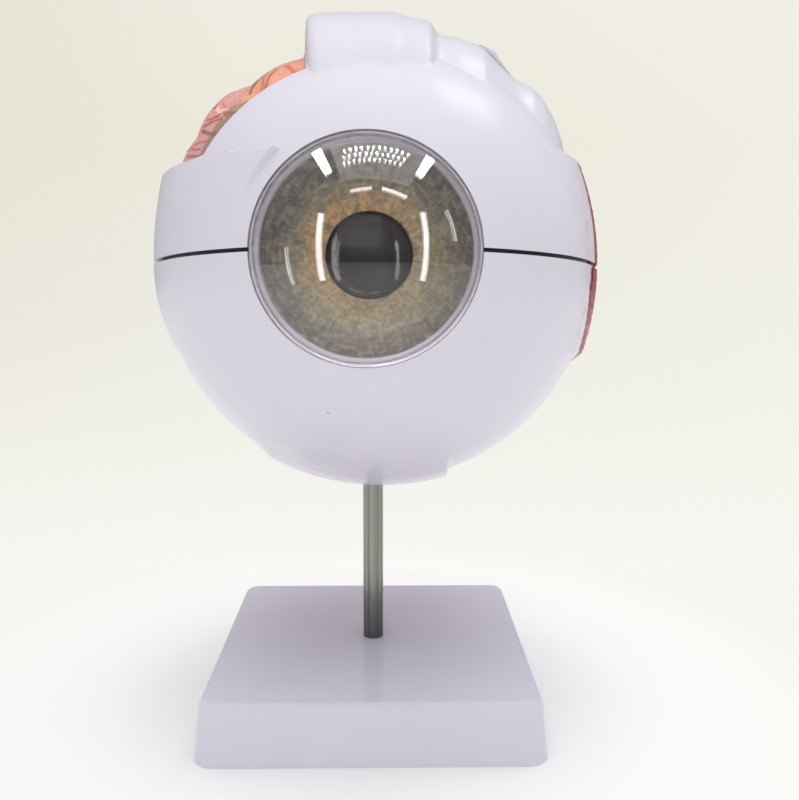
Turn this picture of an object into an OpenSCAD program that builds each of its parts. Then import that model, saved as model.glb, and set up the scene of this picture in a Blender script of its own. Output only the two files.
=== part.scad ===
/* [Stand] */
// Width and depth of the base at its top face
base_w = 120; // [100:1:150]
// Height of the base
base_h = 22; // [16:1:32]
// How far each side of the base leans out from top to bottom
base_draft = 1.9; // [0.5:0.1:4]
// Radius of the base's upright corners at the top
base_corner_r = 6; // [4:0.5:12]
// Radius of the rounded edge round the top face
base_edge_r = 2.2; // [1:0.1:3]
// Wall of the hollow base
base_wall = 3; // [2:0.5:5]
// Diameter of the boss under the base that holds the rod
base_boss_d = 20; // [18:1:30]
// Thickness of the ribs under the base
rib_t = 2.4; // [1.6:0.2:4]
// Diameter of the steel rod
rod_d = 8; // [6:0.5:10]
// Closed floor under the rod's foot
rod_floor = 3; // [2:0.5:5]
// Height of the nut moulded into the base
nut_h = 6.5; // [5:0.5:8]
// Width across the flats of that nut
nut_af = 13; // [12:0.5:16]
// Height of the nut's underside above the table
nut_z = 7; // [6:0.5:9]

/* [Eyeball] */
// Radius of the ball
eye_r = 81.1; // [76:0.1:84]
// Height of the ball's centre above the table
eye_z = 169.6; // [160:0.2:190]
// Offset of the ball's centre from the rod
eye_x = 2; // [-4:0.5:4]
// Upward lean of the eye's axis
eye_tilt = 4.1; // [0:0.1:8]
// Turn of the eye's axis about the rod
eye_turn = -2.7; // [-6:0.1:6]
// Wall of the outer coat
sclera_wall = 4; // [3:0.5:5]
// Wall of the inner coat, choroid outside and retina inside
choroid_wall = 3; // [2:0.2:5]
// Room between nested shells
shell_gap = 0.3; // [0.2:0.1:0.6]
// Width of the slit between the two halves
slit_w = 1.3; // [0.6:0.1:2.5]
// Depth of that slit into the wall
slit_depth = 2; // [1:0.2:2.4]

/* [Cornea and iris] */
// Radius of the cornea's rim
cornea_rim_r = 35.6; // [33:0.2:38]
// Height of the rim of the cornea
cornea_rim_h = 2.2; // [1.6:0.2:3]
// Radius of the cornea's dome
cornea_dome_r = 46.8; // [42:0.5:60]
// Wall of the cornea
cornea_wall = 1.8; // [1.2:0.2:3]
// Depth of the cornea's seat below the front of the ball
cornea_sink = 11.5; // [10.5:0.1:13]
// Width of the collar round the cornea's rim
collar_w = 4.8; // [4:0.2:6]
// Radius of the iris where it fills the opening
iris_r = 34; // [32:0.2:34.6]
// Radius of the pupil
pupil_r = 14.2; // [8:0.2:18]
// Depth of the pupil's edge below the cornea's seat
pupil_sink = 16; // [13.4:0.2:17]
// Thickness of the iris
iris_t = 1.4; // [1:0.1:2]
// Height of the iris's rim
iris_rim_h = 4.4; // [3:0.2:5]
// Width of the ledge that the iris sits on
iris_ledge_w = 3.2; // [2:0.2:4]

/* [Lens and vitreous body] */
// Radius of the lens at its rim
lens_r = 27; // [24:0.5:29]
// Radius of the lens's front face
lens_front_r = 44; // [40:1:60]
// Radius of the lens's back face
lens_back_r = 34; // [31:1:45]
// Height of the lens's rim
lens_rim_h = 2; // [1:0.5:3]
// Depth of the middle of the lens below the pupil's edge
lens_sink = 9; // [8:0.2:10]
// Wall of the hollow vitreous body
vitreous_wall = 2.2; // [1.6:0.2:4]
// Number of folds on the ciliary body
fold_count = 36; // [16:2:48]

/* [Muscles] */
// How far the inner side muscle stands off the ball at its middle
medial_rise = 1.3; // [0.5:0.1:3]
// How far the outer side muscle stands off the ball at its middle
lateral_rise = 2.4; // [1:0.1:3]
// How far the lower muscle stands off the ball at its middle
lower_rise = 1.3; // [0.8:0.1:4]
// How far the upper muscle stands off the ball
upper_rise = 10.6; // [7:0.1:12]
// How far the inner and lower muscles thicken towards the back
belly_rise = 7.4; // [4:0.2:9]
// How far the outer muscle thickens towards the back
lateral_belly = 4; // [2:0.2:7]
// Radius of the inner muscle's face across its width
medial_face_r = 103; // [90:1:130]
// Radius of the outer muscle's face above the slit
lateral_high_face_r = 150; // [110:1:180]
// Radius of the outer muscle's face below the slit
lateral_low_face_r = 66; // [60:1:100]
// Radius of the lower muscle's face across its width
lower_face_r = 92; // [85:1:130]
// Distance in front of the ball's centre at which the inner muscle turns red above the slit
medial_high_red = 21; // [10:1:30]
// Distance in front of the ball's centre at which it turns red below the slit
medial_low_red = 28; // [10:1:34]
// Distance in front of the ball's centre at which the outer and upper muscles turn red
other_red = 9; // [0:1:14]
// Distance behind the ball's centre at which the lower muscle turns red
lower_red = 4; // [0:1:14]
// Distance behind the ball's centre at which the muscles are cut
muscle_end = 58; // [40:1:64]
// Thickness of the upper oblique muscle
upper_oblique_t = 8.2; // [5:0.2:9.6]
// Thickness of the lower oblique muscle
lower_oblique_t = 4.6; // [3:0.2:6]
// Width of the two oblique muscles
oblique_w = 17; // [12:1:22]

/* [Window] */
// Distance of the window's front edge from the ball's centre
window_front = 49.5; // [45:0.5:52]
// Distance of the window's back edge behind the ball's centre
window_back = 44; // [20:1:50]
// Height of the window's lower edge above the slit
window_low = 33; // [29:0.5:40]
// White rim left between the window and the upper muscle
window_rim = 0.6; // [0.4:0.1:3]
// How far the choroid lies below the ball's surface there
window_sink = 1.2; // [0.6:0.1:2]

/* [Optic nerve] */
// Radius of the nerve's sheath
nerve_r = 12; // [9:0.5:13]
// Wall of the sheath
sheath_wall = 1.8; // [1.2:0.2:3]
// Length of the nerve behind the ball
nerve_len = 14; // [8:1:24]
// Turn of the nerve towards the nose
nerve_turn = 13; // [8:1:16]
// Radius of the central vein
vein_r = 1.7; // [1:0.1:2.2]
// Radius of the central artery
artery_r = 1.3; // [1:0.1:2]
// Distance of each vessel from the nerve's axis
vessel_off = 2.6; // [2.2:0.1:4]

/* [Fits] */
// Radial running clearance of the rod in the ball
rod_clear = 0.06; // [0.02:0.01:0.1]
// Room round pieces that drop into a seat
seat_clear = 0.3; // [0.2:0.05:0.5]
// Radius of a locating pin
pin_r = 1.5; // [1:0.1:1.8]
// Length of a locating pin
pin_len = 12; // [8:1:16]
// Room round a pin in the upper half
pin_clear = 0.3; // [0.2:0.05:0.4]
// Radius of the boss that holds the rod in the ball
socket_r = 7.5; // [6.5:0.5:9]
// Depth of the rod in the ball
socket_depth = 17; // [12:0.5:18]
// Closed end of the socket above the rod
socket_cap = 2; // [1.5:0.5:3]

/* [Hidden] */
$fn = 96;
big = 300;
eps = 0.01;
lower = -1;
upper = 1;

white = [0.87, 0.86, 0.91];
choroid_brown = [0.36, 0.15, 0.11];
muscle_red = [0.66, 0.15, 0.13];
nerve_yellow = [0.93, 0.80, 0.50];

// Turn about the axis, lean, first and last bearing of each oblique muscle over the ball
lower_oblique_turn = [109.5, -47.8, 17, 62];
upper_oblique_turn = [-60, 21.5, -10.8, 41.5];

sclera_in = eye_r - sclera_wall;
choroid_out = sclera_in - shell_gap;
choroid_in = choroid_out - choroid_wall;
vitreous_r = choroid_in - shell_gap;

cornea_seat = eye_r - cornea_sink;
pupil_seat = cornea_seat - pupil_sink;
lens_seat = pupil_seat - lens_sink;
collar_r = cornea_rim_r + collar_w;
collar_back = cornea_seat - iris_rim_h - 2.6;
rebate_r = cornea_rim_r + seat_clear;
bore_r = iris_r + seat_clear;
ledge_r = bore_r - iris_ledge_w;
ledge_top = cornea_seat - seat_clear - iris_rim_h;
coat_front = collar_back - 1.5;
dome_center = cornea_seat + cornea_rim_h - sqrt(pow(cornea_dome_r, 2) - pow(cornea_rim_r - 0.6, 2));
lens_front_center = lens_seat + lens_rim_h / 2 - sqrt(pow(lens_front_r, 2) - pow(lens_r, 2));
lens_back_center = lens_seat - lens_rim_h / 2 + sqrt(pow(lens_back_r, 2) - pow(lens_r, 2));
vitreous_front = lens_seat + lens_rim_h / 2;

muscle_low = [-44, -40, -38, 28];
side_low = [-34, -35];
side_high = [32.5, 38];
// Side view of the upper muscle: distance towards the nose and drop below its top
upper_steps = [
    [-27, 5], [-26, 2.1], [-24, 0.6], [-20, 0], [6.5, 0], [10.5, 1.4], [19.5, 3.1], [21.6, 6.8], [24, 7.8],
    [30, 8.8], [38, 11.6], [44, 17.4], [50, 22.4], [56, 25.1], [60, 28.5], [65, 36.5], [69, 46.5]
];
upper_edge = [[-20.5, -52], [-27, -8]];
upper_belly = 26;
upper_top = eye_r + upper_rise;
upper_ramp_z = 35;
medial_reach = eye_r + medial_rise + 0.225 * belly_rise;
lateral_reach = eye_r + lateral_rise + 0.225 * lateral_belly;
pin_back = 42;
pin_front_x = (bore_r + collar_r) / 2;
pin_front_h = (ledge_top + cornea_seat) / 2 - 1.5;
socket_foot = eye_z - sqrt(pow(eye_r, 2) - pow(eye_x, 2)) - lower_rise;
rod_top = socket_foot + socket_depth;
socket_top = rod_top + socket_cap;
window_r = eye_r - window_sink;

// The eye's own frame: its axis points forward along -Y and the halves meet at z = 0
module eye_frame() {
    translate([eye_x, 0, eye_z]) rotate([-eye_tilt, 0, eye_turn]) children();
}

// Turns the frame back, for what stands upright inside the ball
module upright() {
    rotate([eye_tilt, 0, 0]) rotate([0, 0, -eye_turn]) translate([-eye_x, 0, -eye_z]) children();
}

// Shapes drawn along Z then lie along the eye's axis, with Z as the distance in front of the centre
module axial() {
    rotate([90, 0, 0]) children();
}

module tube(outer, inner, from, to) {
    translate([0, 0, from]) difference() {
        cylinder(r = outer, h = to - from);
        translate([0, 0, -1]) cylinder(r = inner, h = to - from + 2);
    }
}

module half_space(side, gap) {
    translate([-big / 2, -big / 2, side > 0 ? gap : -gap - big]) cube(big);
}

module ahead_of(distance) {
    translate([-big / 2, -distance - big, -big / 2]) cube(big);
}

module behind(distance) {
    translate([-big / 2, -distance, -big / 2]) cube(big);
}

/* Stand */

// Side view of half the base, with a rounded top edge
function base_side(half, draft, high, edge) = concat(
    [[0, 0], [half + draft, 0]],
    [for (i = [0:5]) [half - edge + edge * cos(i * 18), high - edge + edge * sin(i * 18)]],
    [[0, high]]
);

module base_form(half, high, corner, edge) {
    reach = half - corner;
    for (turn = [0, 90]) rotate([0, 0, turn]) rotate([90, 0, 0])
        linear_extrude(height = 2 * reach, center = true)
            for (side = [0, 1]) mirror([side, 0, 0]) polygon(base_side(half, base_draft, high, edge));
    for (x = [-reach, reach], y = [-reach, reach]) translate([x, y, 0])
        rotate_extrude($fn = 64) polygon(base_side(corner, base_draft, high, edge));
}

module base_plate() {
    color(white) difference() {
        union() {
            difference() {
                base_form(base_w / 2, base_h, base_corner_r, base_edge_r);
                translate([0, 0, -eps]) base_form(
                    base_w / 2 - base_wall, base_h - base_wall, base_corner_r - base_wall, 0.6
                );
            }
            cylinder(d = base_boss_d, h = base_h - 1);
            for (turn = [45, 135]) rotate([0, 0, turn])
                translate([-base_w / 2, -rib_t / 2, 3]) cube([base_w, rib_t, base_h - 4]);
        }
        translate([0, 0, rod_floor]) cylinder(d = rod_d, h = base_h);
        translate([0, 0, nut_z]) cylinder(r = nut_af / sqrt(3), h = nut_h, $fn = 6);
    }
}

module insert_nut() {
    color("goldenrod") translate([0, 0, nut_z]) difference() {
        cylinder(r = nut_af / sqrt(3), h = nut_h, $fn = 6);
        translate([0, 0, -1]) cylinder(d = rod_d, h = nut_h + 2);
    }
}

module rod() {
    bevel = 0.6;
    color("silver") rotate_extrude($fn = 64) polygon([
        [0, rod_floor], [rod_d / 2 - bevel, rod_floor], [rod_d / 2, rod_floor + bevel],
        [rod_d / 2, rod_top - bevel], [rod_d / 2 - bevel, rod_top], [0, rod_top]
    ]);
}

/* Muscle forms, in the eye's frame */

// A strap that wraps fore and aft round the ball, with a flatter face across its width
module side_strap(reach, belly, face_r, low, high) {
    translate([0, belly, 0]) rotate_extrude() intersection() {
        translate([reach - face_r, 0]) circle(r = face_r);
        translate([eye_r * 0.5, low]) square([eye_r, high - low]);
    }
}

module medial_form() {
    intersection() {
        side_strap(medial_reach, belly_rise, medial_face_r, side_low[1], side_high[1]);
        translate([0, -big / 2, -big / 2]) cube(big);
        side_outline(side_low[1], side_high[1]);
    }
}

module lateral_form(side) {
    face_r = side > 0 ? lateral_high_face_r : lateral_low_face_r;
    intersection() {
        side_strap(lateral_reach, lateral_belly, face_r, side_low[0], side_high[0]);
        translate([-big, -big / 2, -big / 2]) cube(big);
        side_outline(side_low[0], side_high[0]);
    }
}

// Side view of a side muscle, narrowing to its cut end
module side_outline(low, high) {
    rotate([90, 0, 90]) linear_extrude(height = big, center = true) polygon([
        [-eye_r, low], [0, low], [muscle_end * 0.5, low * 0.82], [muscle_end, low * 0.55],
        [muscle_end, high * 0.55], [muscle_end * 0.5, high * 0.82], [0, high], [-eye_r, high]
    ]);
}

module inferior_form() {
    span = muscle_low;
    face_z = eye_r + lower_rise - lower_face_r + 0.225 * belly_rise;
    intersection() {
        translate([0, belly_rise, 0]) rotate([0, 90, 0]) rotate_extrude() intersection() {
            translate([face_z, 1]) circle(r = lower_face_r);
            polygon([
                [eye_r * 0.5, span[0]], [eye_r * 0.8, span[0]], [eye_r * 0.965, span[2]],
                [eye_r * 1.3, span[2] + 30], [eye_r * 1.3, span[3]], [eye_r * 0.5, span[3]]
            ]);
        }
        half_space(lower, 20);
        ahead_of(-muscle_end);
        linear_extrude(height = big, center = true) polygon([
            [span[0], -eye_r], [span[3], -eye_r], [span[3], 0], [span[3] * 0.8, muscle_end],
            [span[0] * 0.55, muscle_end], [span[0], 0]
        ]);
    }
}

// The upper muscle's side view, turned about an axis at the given height
module superior_profile(low) {
    inner = eye_r * 0.5 - low;
    last = upper_steps[len(upper_steps) - 1];
    polygon(concat(
        [[inner, -upper_steps[0][0]]],
        [for (at = upper_steps) [upper_top - at[1] - low, -at[0]]],
        [[inner, -last[0] - 1]]
    ));
}

module superior_form() {
    intersection() {
        translate([0, -3, 0]) {
            intersection() {
                rotate([0, -90, 0]) rotate_extrude() superior_profile(0);
                behind(0);
                half_space(upper, 20);
            }
            intersection() {
                translate([0, 0, upper_ramp_z]) rotate([0, -90, 0]) rotate_extrude() superior_profile(upper_ramp_z);
                ahead_of(0);
                half_space(upper, upper_ramp_z);
            }
        }
        linear_extrude(height = big) polygon([
            [upper_edge[0][0], -big], upper_edge[0], upper_edge[1], [upper_edge[1][0], big], [big, big], [big, -big]
        ]);
    }
}

module superior_belly() {
    left = upper_edge[1][0];
    intersection() {
        superior_form();
        ahead_of(-muscle_end);
        linear_extrude(height = big) polygon([
            [left, -eye_r], [upper_belly, -eye_r], [upper_belly, 0], [upper_belly * 0.7, muscle_end],
            [left * 0.85, muscle_end], [left, 0]
        ]);
    }
}

// A band along a great circle of the ball: turn about the axis, lean, first and last bearing
module band(route, thick) {
    rotate([0, route[0], 0]) rotate([route[1], 0, route[2]])
    rotate_extrude(angle = route[3] - route[2]) intersection() {
        circle(r = eye_r + thick);
        translate([eye_r * 0.5, -oblique_w / 2]) square([eye_r, oblique_w]);
        translate([eye_r * 0.9 - oblique_w * 0.1, 0]) circle(r = eye_r * 0.1 + thick + oblique_w * 0.14);
    }
}

/* Coats of the ball */

module opening() {
    axial() {
        translate([0, 0, cornea_seat]) cylinder(r = rebate_r, h = big);
        translate([0, 0, ledge_top]) cylinder(r = bore_r, h = big);
        cylinder(r = ledge_r, h = big);
    }
}

module nerve_place() {
    rotate([0, 0, -nerve_turn]) rotate([-90, 0, 0]) children();
}

module nerve_hole(radius) {
    nerve_place() cylinder(r = radius, h = big);
}

// Middle of a side muscle's thickness at the rear pins
function pin_back_x(reach, belly) =
    (sqrt(pow(eye_r, 2) - pow(pin_back, 2)) + sqrt(pow(reach, 2) - pow(pin_back - belly, 2))) / 2;

module pin_places() {
    for (side = [-1, 1]) translate([side * pin_front_x, -pin_front_h, 0]) children();
    translate([-pin_back_x(lateral_reach, lateral_belly), pin_back, 0]) children();
    translate([pin_back_x(medial_reach, belly_rise), pin_back, 0]) children();
}

module pin_holes(clear) {
    translate([0, 0, -pin_len / 2 - clear]) pin_places() cylinder(r = pin_r + clear, h = pin_len + 2 * clear);
}

module slit() {
    difference() {
        cube([big, big, slit_w], center = true);
        cylinder(r = eye_r - slit_depth, h = slit_w * 2, center = true);
    }
}

// The wall of the ball with the collar that carries the iris and cornea
module wall_form() {
    difference() {
        axial() sphere(r = eye_r);
        axial() sphere(r = sclera_in);
    }
    intersection() {
        axial() sphere(r = eye_r);
        axial() translate([0, 0, collar_back]) cylinder(r = collar_r, h = big);
    }
}

// The white ends of the muscles, which are moulded with the wall
module tendons(side, medial_red, middle_red) {
    difference() {
        union() {
            intersection() {
                medial_form();
                ahead_of(medial_red);
            }
            intersection() {
                lateral_form(side);
                ahead_of(other_red);
            }
            intersection() {
                children();
                ahead_of(middle_red);
            }
        }
        sphere(r = eye_r - 1);
    }
}

module lower_sclera() {
    color(white) eye_frame() difference() {
        union() {
            intersection() {
                union() {
                    wall_form();
                    tendons(lower, medial_low_red, -lower_red) inferior_form();
                }
                half_space(lower, 0);
            }
            upright() translate([0, 0, socket_foot + 0.4])
                cylinder(r = socket_r, h = socket_top - socket_foot - 0.4);
        }
        opening();
        slit();
        nerve_hole(nerve_r);
        pin_holes(0);
        upright() cylinder(r = rod_d / 2 + rod_clear, h = rod_top + rod_clear);
    }
}

module upper_sclera() {
    color(white) eye_frame() difference() {
        intersection() {
            union() {
                wall_form();
                tendons(upper, medial_high_red, other_red) superior_form();
            }
            half_space(upper, 0);
        }
        opening();
        slit();
        nerve_hole(nerve_r + seat_clear);
        window_form(0);
        pin_holes(pin_clear);
    }
}

// The region of the ball that the window takes out
module window_form(shrink) {
    side = window_rim + shrink;
    translate([0, 0, window_low + shrink]) linear_extrude(height = big) polygon([
        [-big, -window_front + shrink], [upper_edge[0][0] - side, -window_front + shrink],
        [upper_edge[1][0] - side, upper_edge[1][1]], [upper_edge[1][0] - side, window_back - shrink],
        [-big, window_back - shrink]
    ]);
}

// A low mound on the choroid, at a bearing round the axis and an angle from it
module mound(bearing, from_axis, spread, rise) {
    rotate([0, bearing, 0]) rotate([90 - from_axis, 0, 0]) translate([0, 0, -spread])
        translate([0, 0, window_r + rise]) sphere(r = spread);
}

module window_choroid() {
    color([0.93, 0.60, 0.50]) eye_frame() intersection() {
        difference() {
            union() {
                sphere(r = window_r);
                mound(-46, 78, 26, 3.6);
                mound(-28, 82, 34, 1.6);
                mound(-59, 78, 24, 1.9);
            }
            sphere(r = sclera_in);
        }
        window_form(0.1);
    }
}

module choroid_half(side, edge) {
    difference() {
        axial() sphere(r = choroid_out);
        axial() sphere(r = choroid_in);
        half_space(-side, -edge);
        axial() translate([0, 0, coat_front]) cylinder(r = big, h = big);
        nerve_hole(nerve_r - sheath_wall + seat_clear);
        upright() cylinder(r = socket_r + seat_clear, h = eye_z - eye_r * 0.5);
    }
}

module lower_choroid() {
    color(choroid_brown) eye_frame() choroid_half(lower, 0);
}

module upper_choroid() {
    color(choroid_brown) eye_frame() choroid_half(upper, shell_gap);
}

module locating_pins() {
    color("gainsboro") eye_frame() translate([0, 0, -pin_len / 2]) pin_places()
        cylinder(r = pin_r, h = pin_len);
}

/* Muscles */

// The red part of a form, from where it turns red to its cut end
module red_part(side, start) {
    difference() {
        intersection() {
            children();
            behind(start);
            half_space(side, slit_w / 2);
        }
        sphere(r = eye_r);
        pin_holes(side > 0 ? pin_clear : 0);
    }
}

module inferior_rectus() {
    color(muscle_red) eye_frame() difference() {
        red_part(lower, -lower_red) inferior_form();
        upright() cylinder(r = socket_r, h = eye_z);
    }
}

module lower_medial_rectus() {
    color(muscle_red) eye_frame() red_part(lower, medial_low_red) medial_form();
}

module upper_medial_rectus() {
    color(muscle_red) eye_frame() red_part(upper, medial_high_red) medial_form();
}

module lower_lateral_rectus() {
    color(muscle_red) eye_frame() red_part(lower, other_red) lateral_form(lower);
}

module upper_lateral_rectus() {
    color(muscle_red) eye_frame() red_part(upper, other_red) lateral_form(upper);
}

module superior_rectus() {
    color(muscle_red) eye_frame() red_part(upper, other_red) superior_belly();
}

module inferior_oblique() {
    color(muscle_red) eye_frame() difference() {
        band(lower_oblique_turn, lower_oblique_t);
        inferior_form();
        lateral_form(lower);
        sphere(r = eye_r);
    }
}

module superior_oblique() {
    color(muscle_red) eye_frame() difference() {
        band(upper_oblique_turn, upper_oblique_t);
        intersection() {
            superior_form();
            ahead_of(other_red);
        }
        superior_belly();
        medial_form();
        sphere(r = eye_r);
    }
}

/* Optic nerve */

module nerve_sheath() {
    color([0.92, 0.88, 0.84]) eye_frame() nerve_place()
        tube(nerve_r, nerve_r - sheath_wall, sclera_in, eye_r + nerve_len);
}

module optic_nerve() {
    color(nerve_yellow) eye_frame() nerve_place() difference() {
        translate([0, 0, choroid_in]) cylinder(r = nerve_r - sheath_wall, h = eye_r + nerve_len + 1 - choroid_in);
        vessel_places(0) cylinder(r = artery_r, h = big);
        vessel_places(1) cylinder(r = vein_r, h = big);
    }
}

module vessel_places(which) {
    translate([0, which == 0 ? vessel_off : -vessel_off, choroid_in - eps]) children();
}

module central_artery() {
    color("firebrick") eye_frame() nerve_place()
        vessel_places(0) cylinder(r = artery_r, h = eye_r + nerve_len + 2.5 - choroid_in, $fn = 32);
}

module central_vein() {
    color("steelblue") eye_frame() nerve_place()
        vessel_places(1) cylinder(r = vein_r, h = eye_r + nerve_len + 2.5 - choroid_in, $fn = 32);
}

/* Inside of the eye */

module lens_form(grow) {
    axial() intersection() {
        translate([0, 0, lens_front_center]) sphere(r = lens_front_r + grow);
        translate([0, 0, lens_back_center]) sphere(r = lens_back_r + grow);
        cylinder(r = lens_r + grow, h = big);
    }
}

module lens() {
    color([0.8, 0.9, 0.95, 0.5]) eye_frame() lens_form(0);
}

module vitreous_form(inset) {
    difference() {
        intersection() {
            sphere(r = vitreous_r - inset);
            behind(vitreous_front - inset);
        }
        lens_form(seat_clear + inset);
        upright() cylinder(r = socket_r + 1 + inset, h = socket_top + 1 + inset);
    }
}

module vitreous_body() {
    color([0.9, 0.95, 1, 0.4]) eye_frame() difference() {
        vitreous_form(0);
        vitreous_form(vitreous_wall);
    }
}

// A point of the iris's front face, by its share of the way from the pupil out and forward to the rim
function iris_point(out, forward) = [
    pupil_r + out * (iris_r - 1 - pupil_r),
    pupil_seat + iris_t + forward * (cornea_seat - seat_clear - pupil_seat - iris_t)
];

module iris() {
    rim_top = cornea_seat - seat_clear;
    outer_bend = iris_point(0.65, 0.45);
    inner_bend = iris_point(0.31, 0.11);
    color([0.5, 0.44, 0.33]) eye_frame() axial() rotate_extrude() polygon([
        [iris_r, rim_top - iris_rim_h], [iris_r, rim_top], [iris_r - 1, rim_top],
        outer_bend, inner_bend, [pupil_r + 1, pupil_seat + iris_t], [pupil_r, pupil_seat + iris_t * 0.6],
        [pupil_r, pupil_seat], inner_bend - [-0.5, iris_t], outer_bend - [-0.5, iris_t],
        [ledge_r - 0.4, rim_top - iris_rim_h]
    ]);
}

module ciliary_body() {
    outer = ledge_r - 2 * seat_clear;
    foot = vitreous_front + seat_clear;
    top = iris_point(0.65, 0.45)[1] - iris_t;
    color(choroid_brown) eye_frame() axial() difference() {
        rotate_extrude() polygon([
            [lens_r + 1, foot], [outer, foot], [outer, ledge_top - 0.4], [lens_r + 1, top + 1]
        ]);
        for (i = [0:fold_count - 1]) rotate([0, 0, i * 360 / fold_count])
            translate([lens_r + 0.6, 0, foot - 1]) cylinder(r = 1.1, h = 9, $fn = 16);
    }
}

module cornea() {
    color([0.9, 0.95, 1, 0.3]) eye_frame() axial() {
        difference() {
            intersection() {
                translate([0, 0, dome_center]) sphere(r = cornea_dome_r);
                translate([0, 0, cornea_seat]) cylinder(r = cornea_rim_r, h = big);
            }
            translate([0, 0, dome_center]) sphere(r = cornea_dome_r - cornea_wall);
        }
        tube(cornea_rim_r, cornea_rim_r - cornea_wall, cornea_seat, cornea_seat + cornea_rim_h);
    }
}

base_plate();
insert_nut();
rod();
lower_sclera();
lower_choroid();
locating_pins();
inferior_rectus();
lower_medial_rectus();
lower_lateral_rectus();
inferior_oblique();
nerve_sheath();
optic_nerve();
central_artery();
central_vein();
upper_sclera();
window_choroid();
superior_rectus();
upper_medial_rectus();
upper_lateral_rectus();
superior_oblique();
upper_choroid();
vitreous_body();
lens();
iris();
ciliary_body();
cornea();
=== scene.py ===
import math

import bpy
import numpy as np
from mathutils import Matrix, Vector


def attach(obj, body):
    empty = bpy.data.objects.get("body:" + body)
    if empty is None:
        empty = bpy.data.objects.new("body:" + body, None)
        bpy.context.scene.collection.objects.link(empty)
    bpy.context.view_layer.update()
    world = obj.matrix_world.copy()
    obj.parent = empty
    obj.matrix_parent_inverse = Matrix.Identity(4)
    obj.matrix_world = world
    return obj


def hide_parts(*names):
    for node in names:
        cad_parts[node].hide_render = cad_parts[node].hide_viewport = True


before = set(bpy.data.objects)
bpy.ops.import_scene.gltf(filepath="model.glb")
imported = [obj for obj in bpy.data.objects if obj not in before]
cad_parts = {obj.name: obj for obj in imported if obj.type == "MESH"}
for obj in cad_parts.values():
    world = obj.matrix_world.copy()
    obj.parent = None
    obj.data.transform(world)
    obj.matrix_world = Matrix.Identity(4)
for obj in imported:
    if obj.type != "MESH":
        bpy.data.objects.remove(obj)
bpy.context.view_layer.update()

print("frame loaded:", len(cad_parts), "nodes")

mm = 0.001

# where the ball sits on its rod, and how it leans and turns
eyePlace = {"x": 2.0, "z": 169.6, "lean": 4.1, "turn": -2.7}
eyeMatrix = (
    Matrix.Translation((eyePlace["x"] * mm, 0, eyePlace["z"] * mm))
    @ Matrix.Rotation(math.radians(eyePlace["turn"]), 4, "Z")
    @ Matrix.Rotation(math.radians(-eyePlace["lean"]), 4, "X")
    @ Matrix.Scale(mm, 4)
)
axisMatrix = eyeMatrix @ Matrix.Rotation(math.radians(90), 4, "X")   # +Z runs out of the pupil


def deselectAll():
    if bpy.context.object and bpy.context.object.mode != "OBJECT":
        bpy.ops.object.mode_set(mode="OBJECT")
    bpy.ops.object.select_all(action="DESELECT")


def pick(obj):
    deselectAll()
    obj.select_set(True)
    bpy.context.view_layer.objects.active = obj


def named(obj, name):
    obj.name = name
    obj.data.name = name
    return obj


def addObject(name, data):
    obj = bpy.data.objects.new(name, data)
    bpy.context.scene.collection.objects.link(obj)
    return obj


def openMesh(obj):
    # edit mode with everything picked
    pick(obj)
    bpy.ops.object.mode_set(mode="EDIT")
    bpy.ops.mesh.select_all(action="SELECT")


def closeMesh(merge=None, outwards=True):
    # merges close points and turns the faces outwards, then leaves edit mode
    bpy.ops.mesh.select_all(action="SELECT")
    if merge:
        bpy.ops.mesh.remove_doubles(threshold=merge)
    if outwards:
        bpy.ops.mesh.normals_make_consistent(inside=False)
    bpy.ops.object.mode_set(mode="OBJECT")


def settle(obj, matrix):
    # puts the object's place into its mesh, so that the object itself sits at the origin
    obj.data.transform(matrix @ obj.matrix_world)
    obj.matrix_world = Matrix.Identity(4)
    obj.data.update()
    return obj


def smooth(obj, angle=35):
    pick(obj)
    bpy.ops.object.shade_smooth_by_angle(angle=math.radians(angle))
    return obj


def useModifier(obj, kind, **values):
    pick(obj)
    modifier = obj.modifiers.new(kind.lower(), kind)
    for key, value in values.items():
        setattr(modifier, key, value)
    bpy.ops.object.modifier_apply(modifier=modifier.name)
    return obj


def carve(obj, cutter, operation="DIFFERENCE", solver="MANIFOLD"):
    useModifier(obj, "BOOLEAN", object=cutter, operation=operation, solver=solver)
    bpy.data.objects.remove(cutter, do_unlink=True)
    return obj


def lathe(name, profile, steps=128):
    # spins a closed outline of (radius, height) points about Z; points at radius 0 close the poles
    deselectAll()
    bpy.ops.mesh.primitive_circle_add(vertices=3, radius=1)
    obj = bpy.context.object
    mesh = obj.data
    mesh.clear_geometry()
    count = len(profile)
    mesh.from_pydata([(r, 0, z) for r, z in profile], [(i, (i + 1) % count) for i in range(count)], [])
    openMesh(obj)
    bpy.ops.mesh.spin(steps=steps, angle=2 * math.pi, center=(0, 0, 0), axis=(0, 0, 1), use_auto_merge=True)
    closeMesh(0.001)
    return named(obj, name)


def cadCopy(node, name):
    # a merged copy of a CAD node's mesh, ready to be reworked
    deselectAll()
    obj = addObject(name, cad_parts[node].data.copy())
    obj.data.materials.clear()
    openMesh(obj)
    closeMesh(0.00001, outwards=False)
    return obj


def finishPiece(obj, body, slot, material, *nodes):
    obj.data.materials.clear()
    obj.data.materials.append(material)
    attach(obj, body)
    if nodes:
        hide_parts(*nodes)
    return obj


def newMaterial(name):
    material = bpy.data.materials.new(name)
    material.use_nodes = True
    tree = material.node_tree
    tree.nodes.clear()
    output = tree.nodes.new("ShaderNodeOutputMaterial")
    bsdf = tree.nodes.new("ShaderNodeBsdfPrincipled")
    tree.links.new(bsdf.outputs["BSDF"], output.inputs["Surface"])
    return material, tree, bsdf, output


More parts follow.
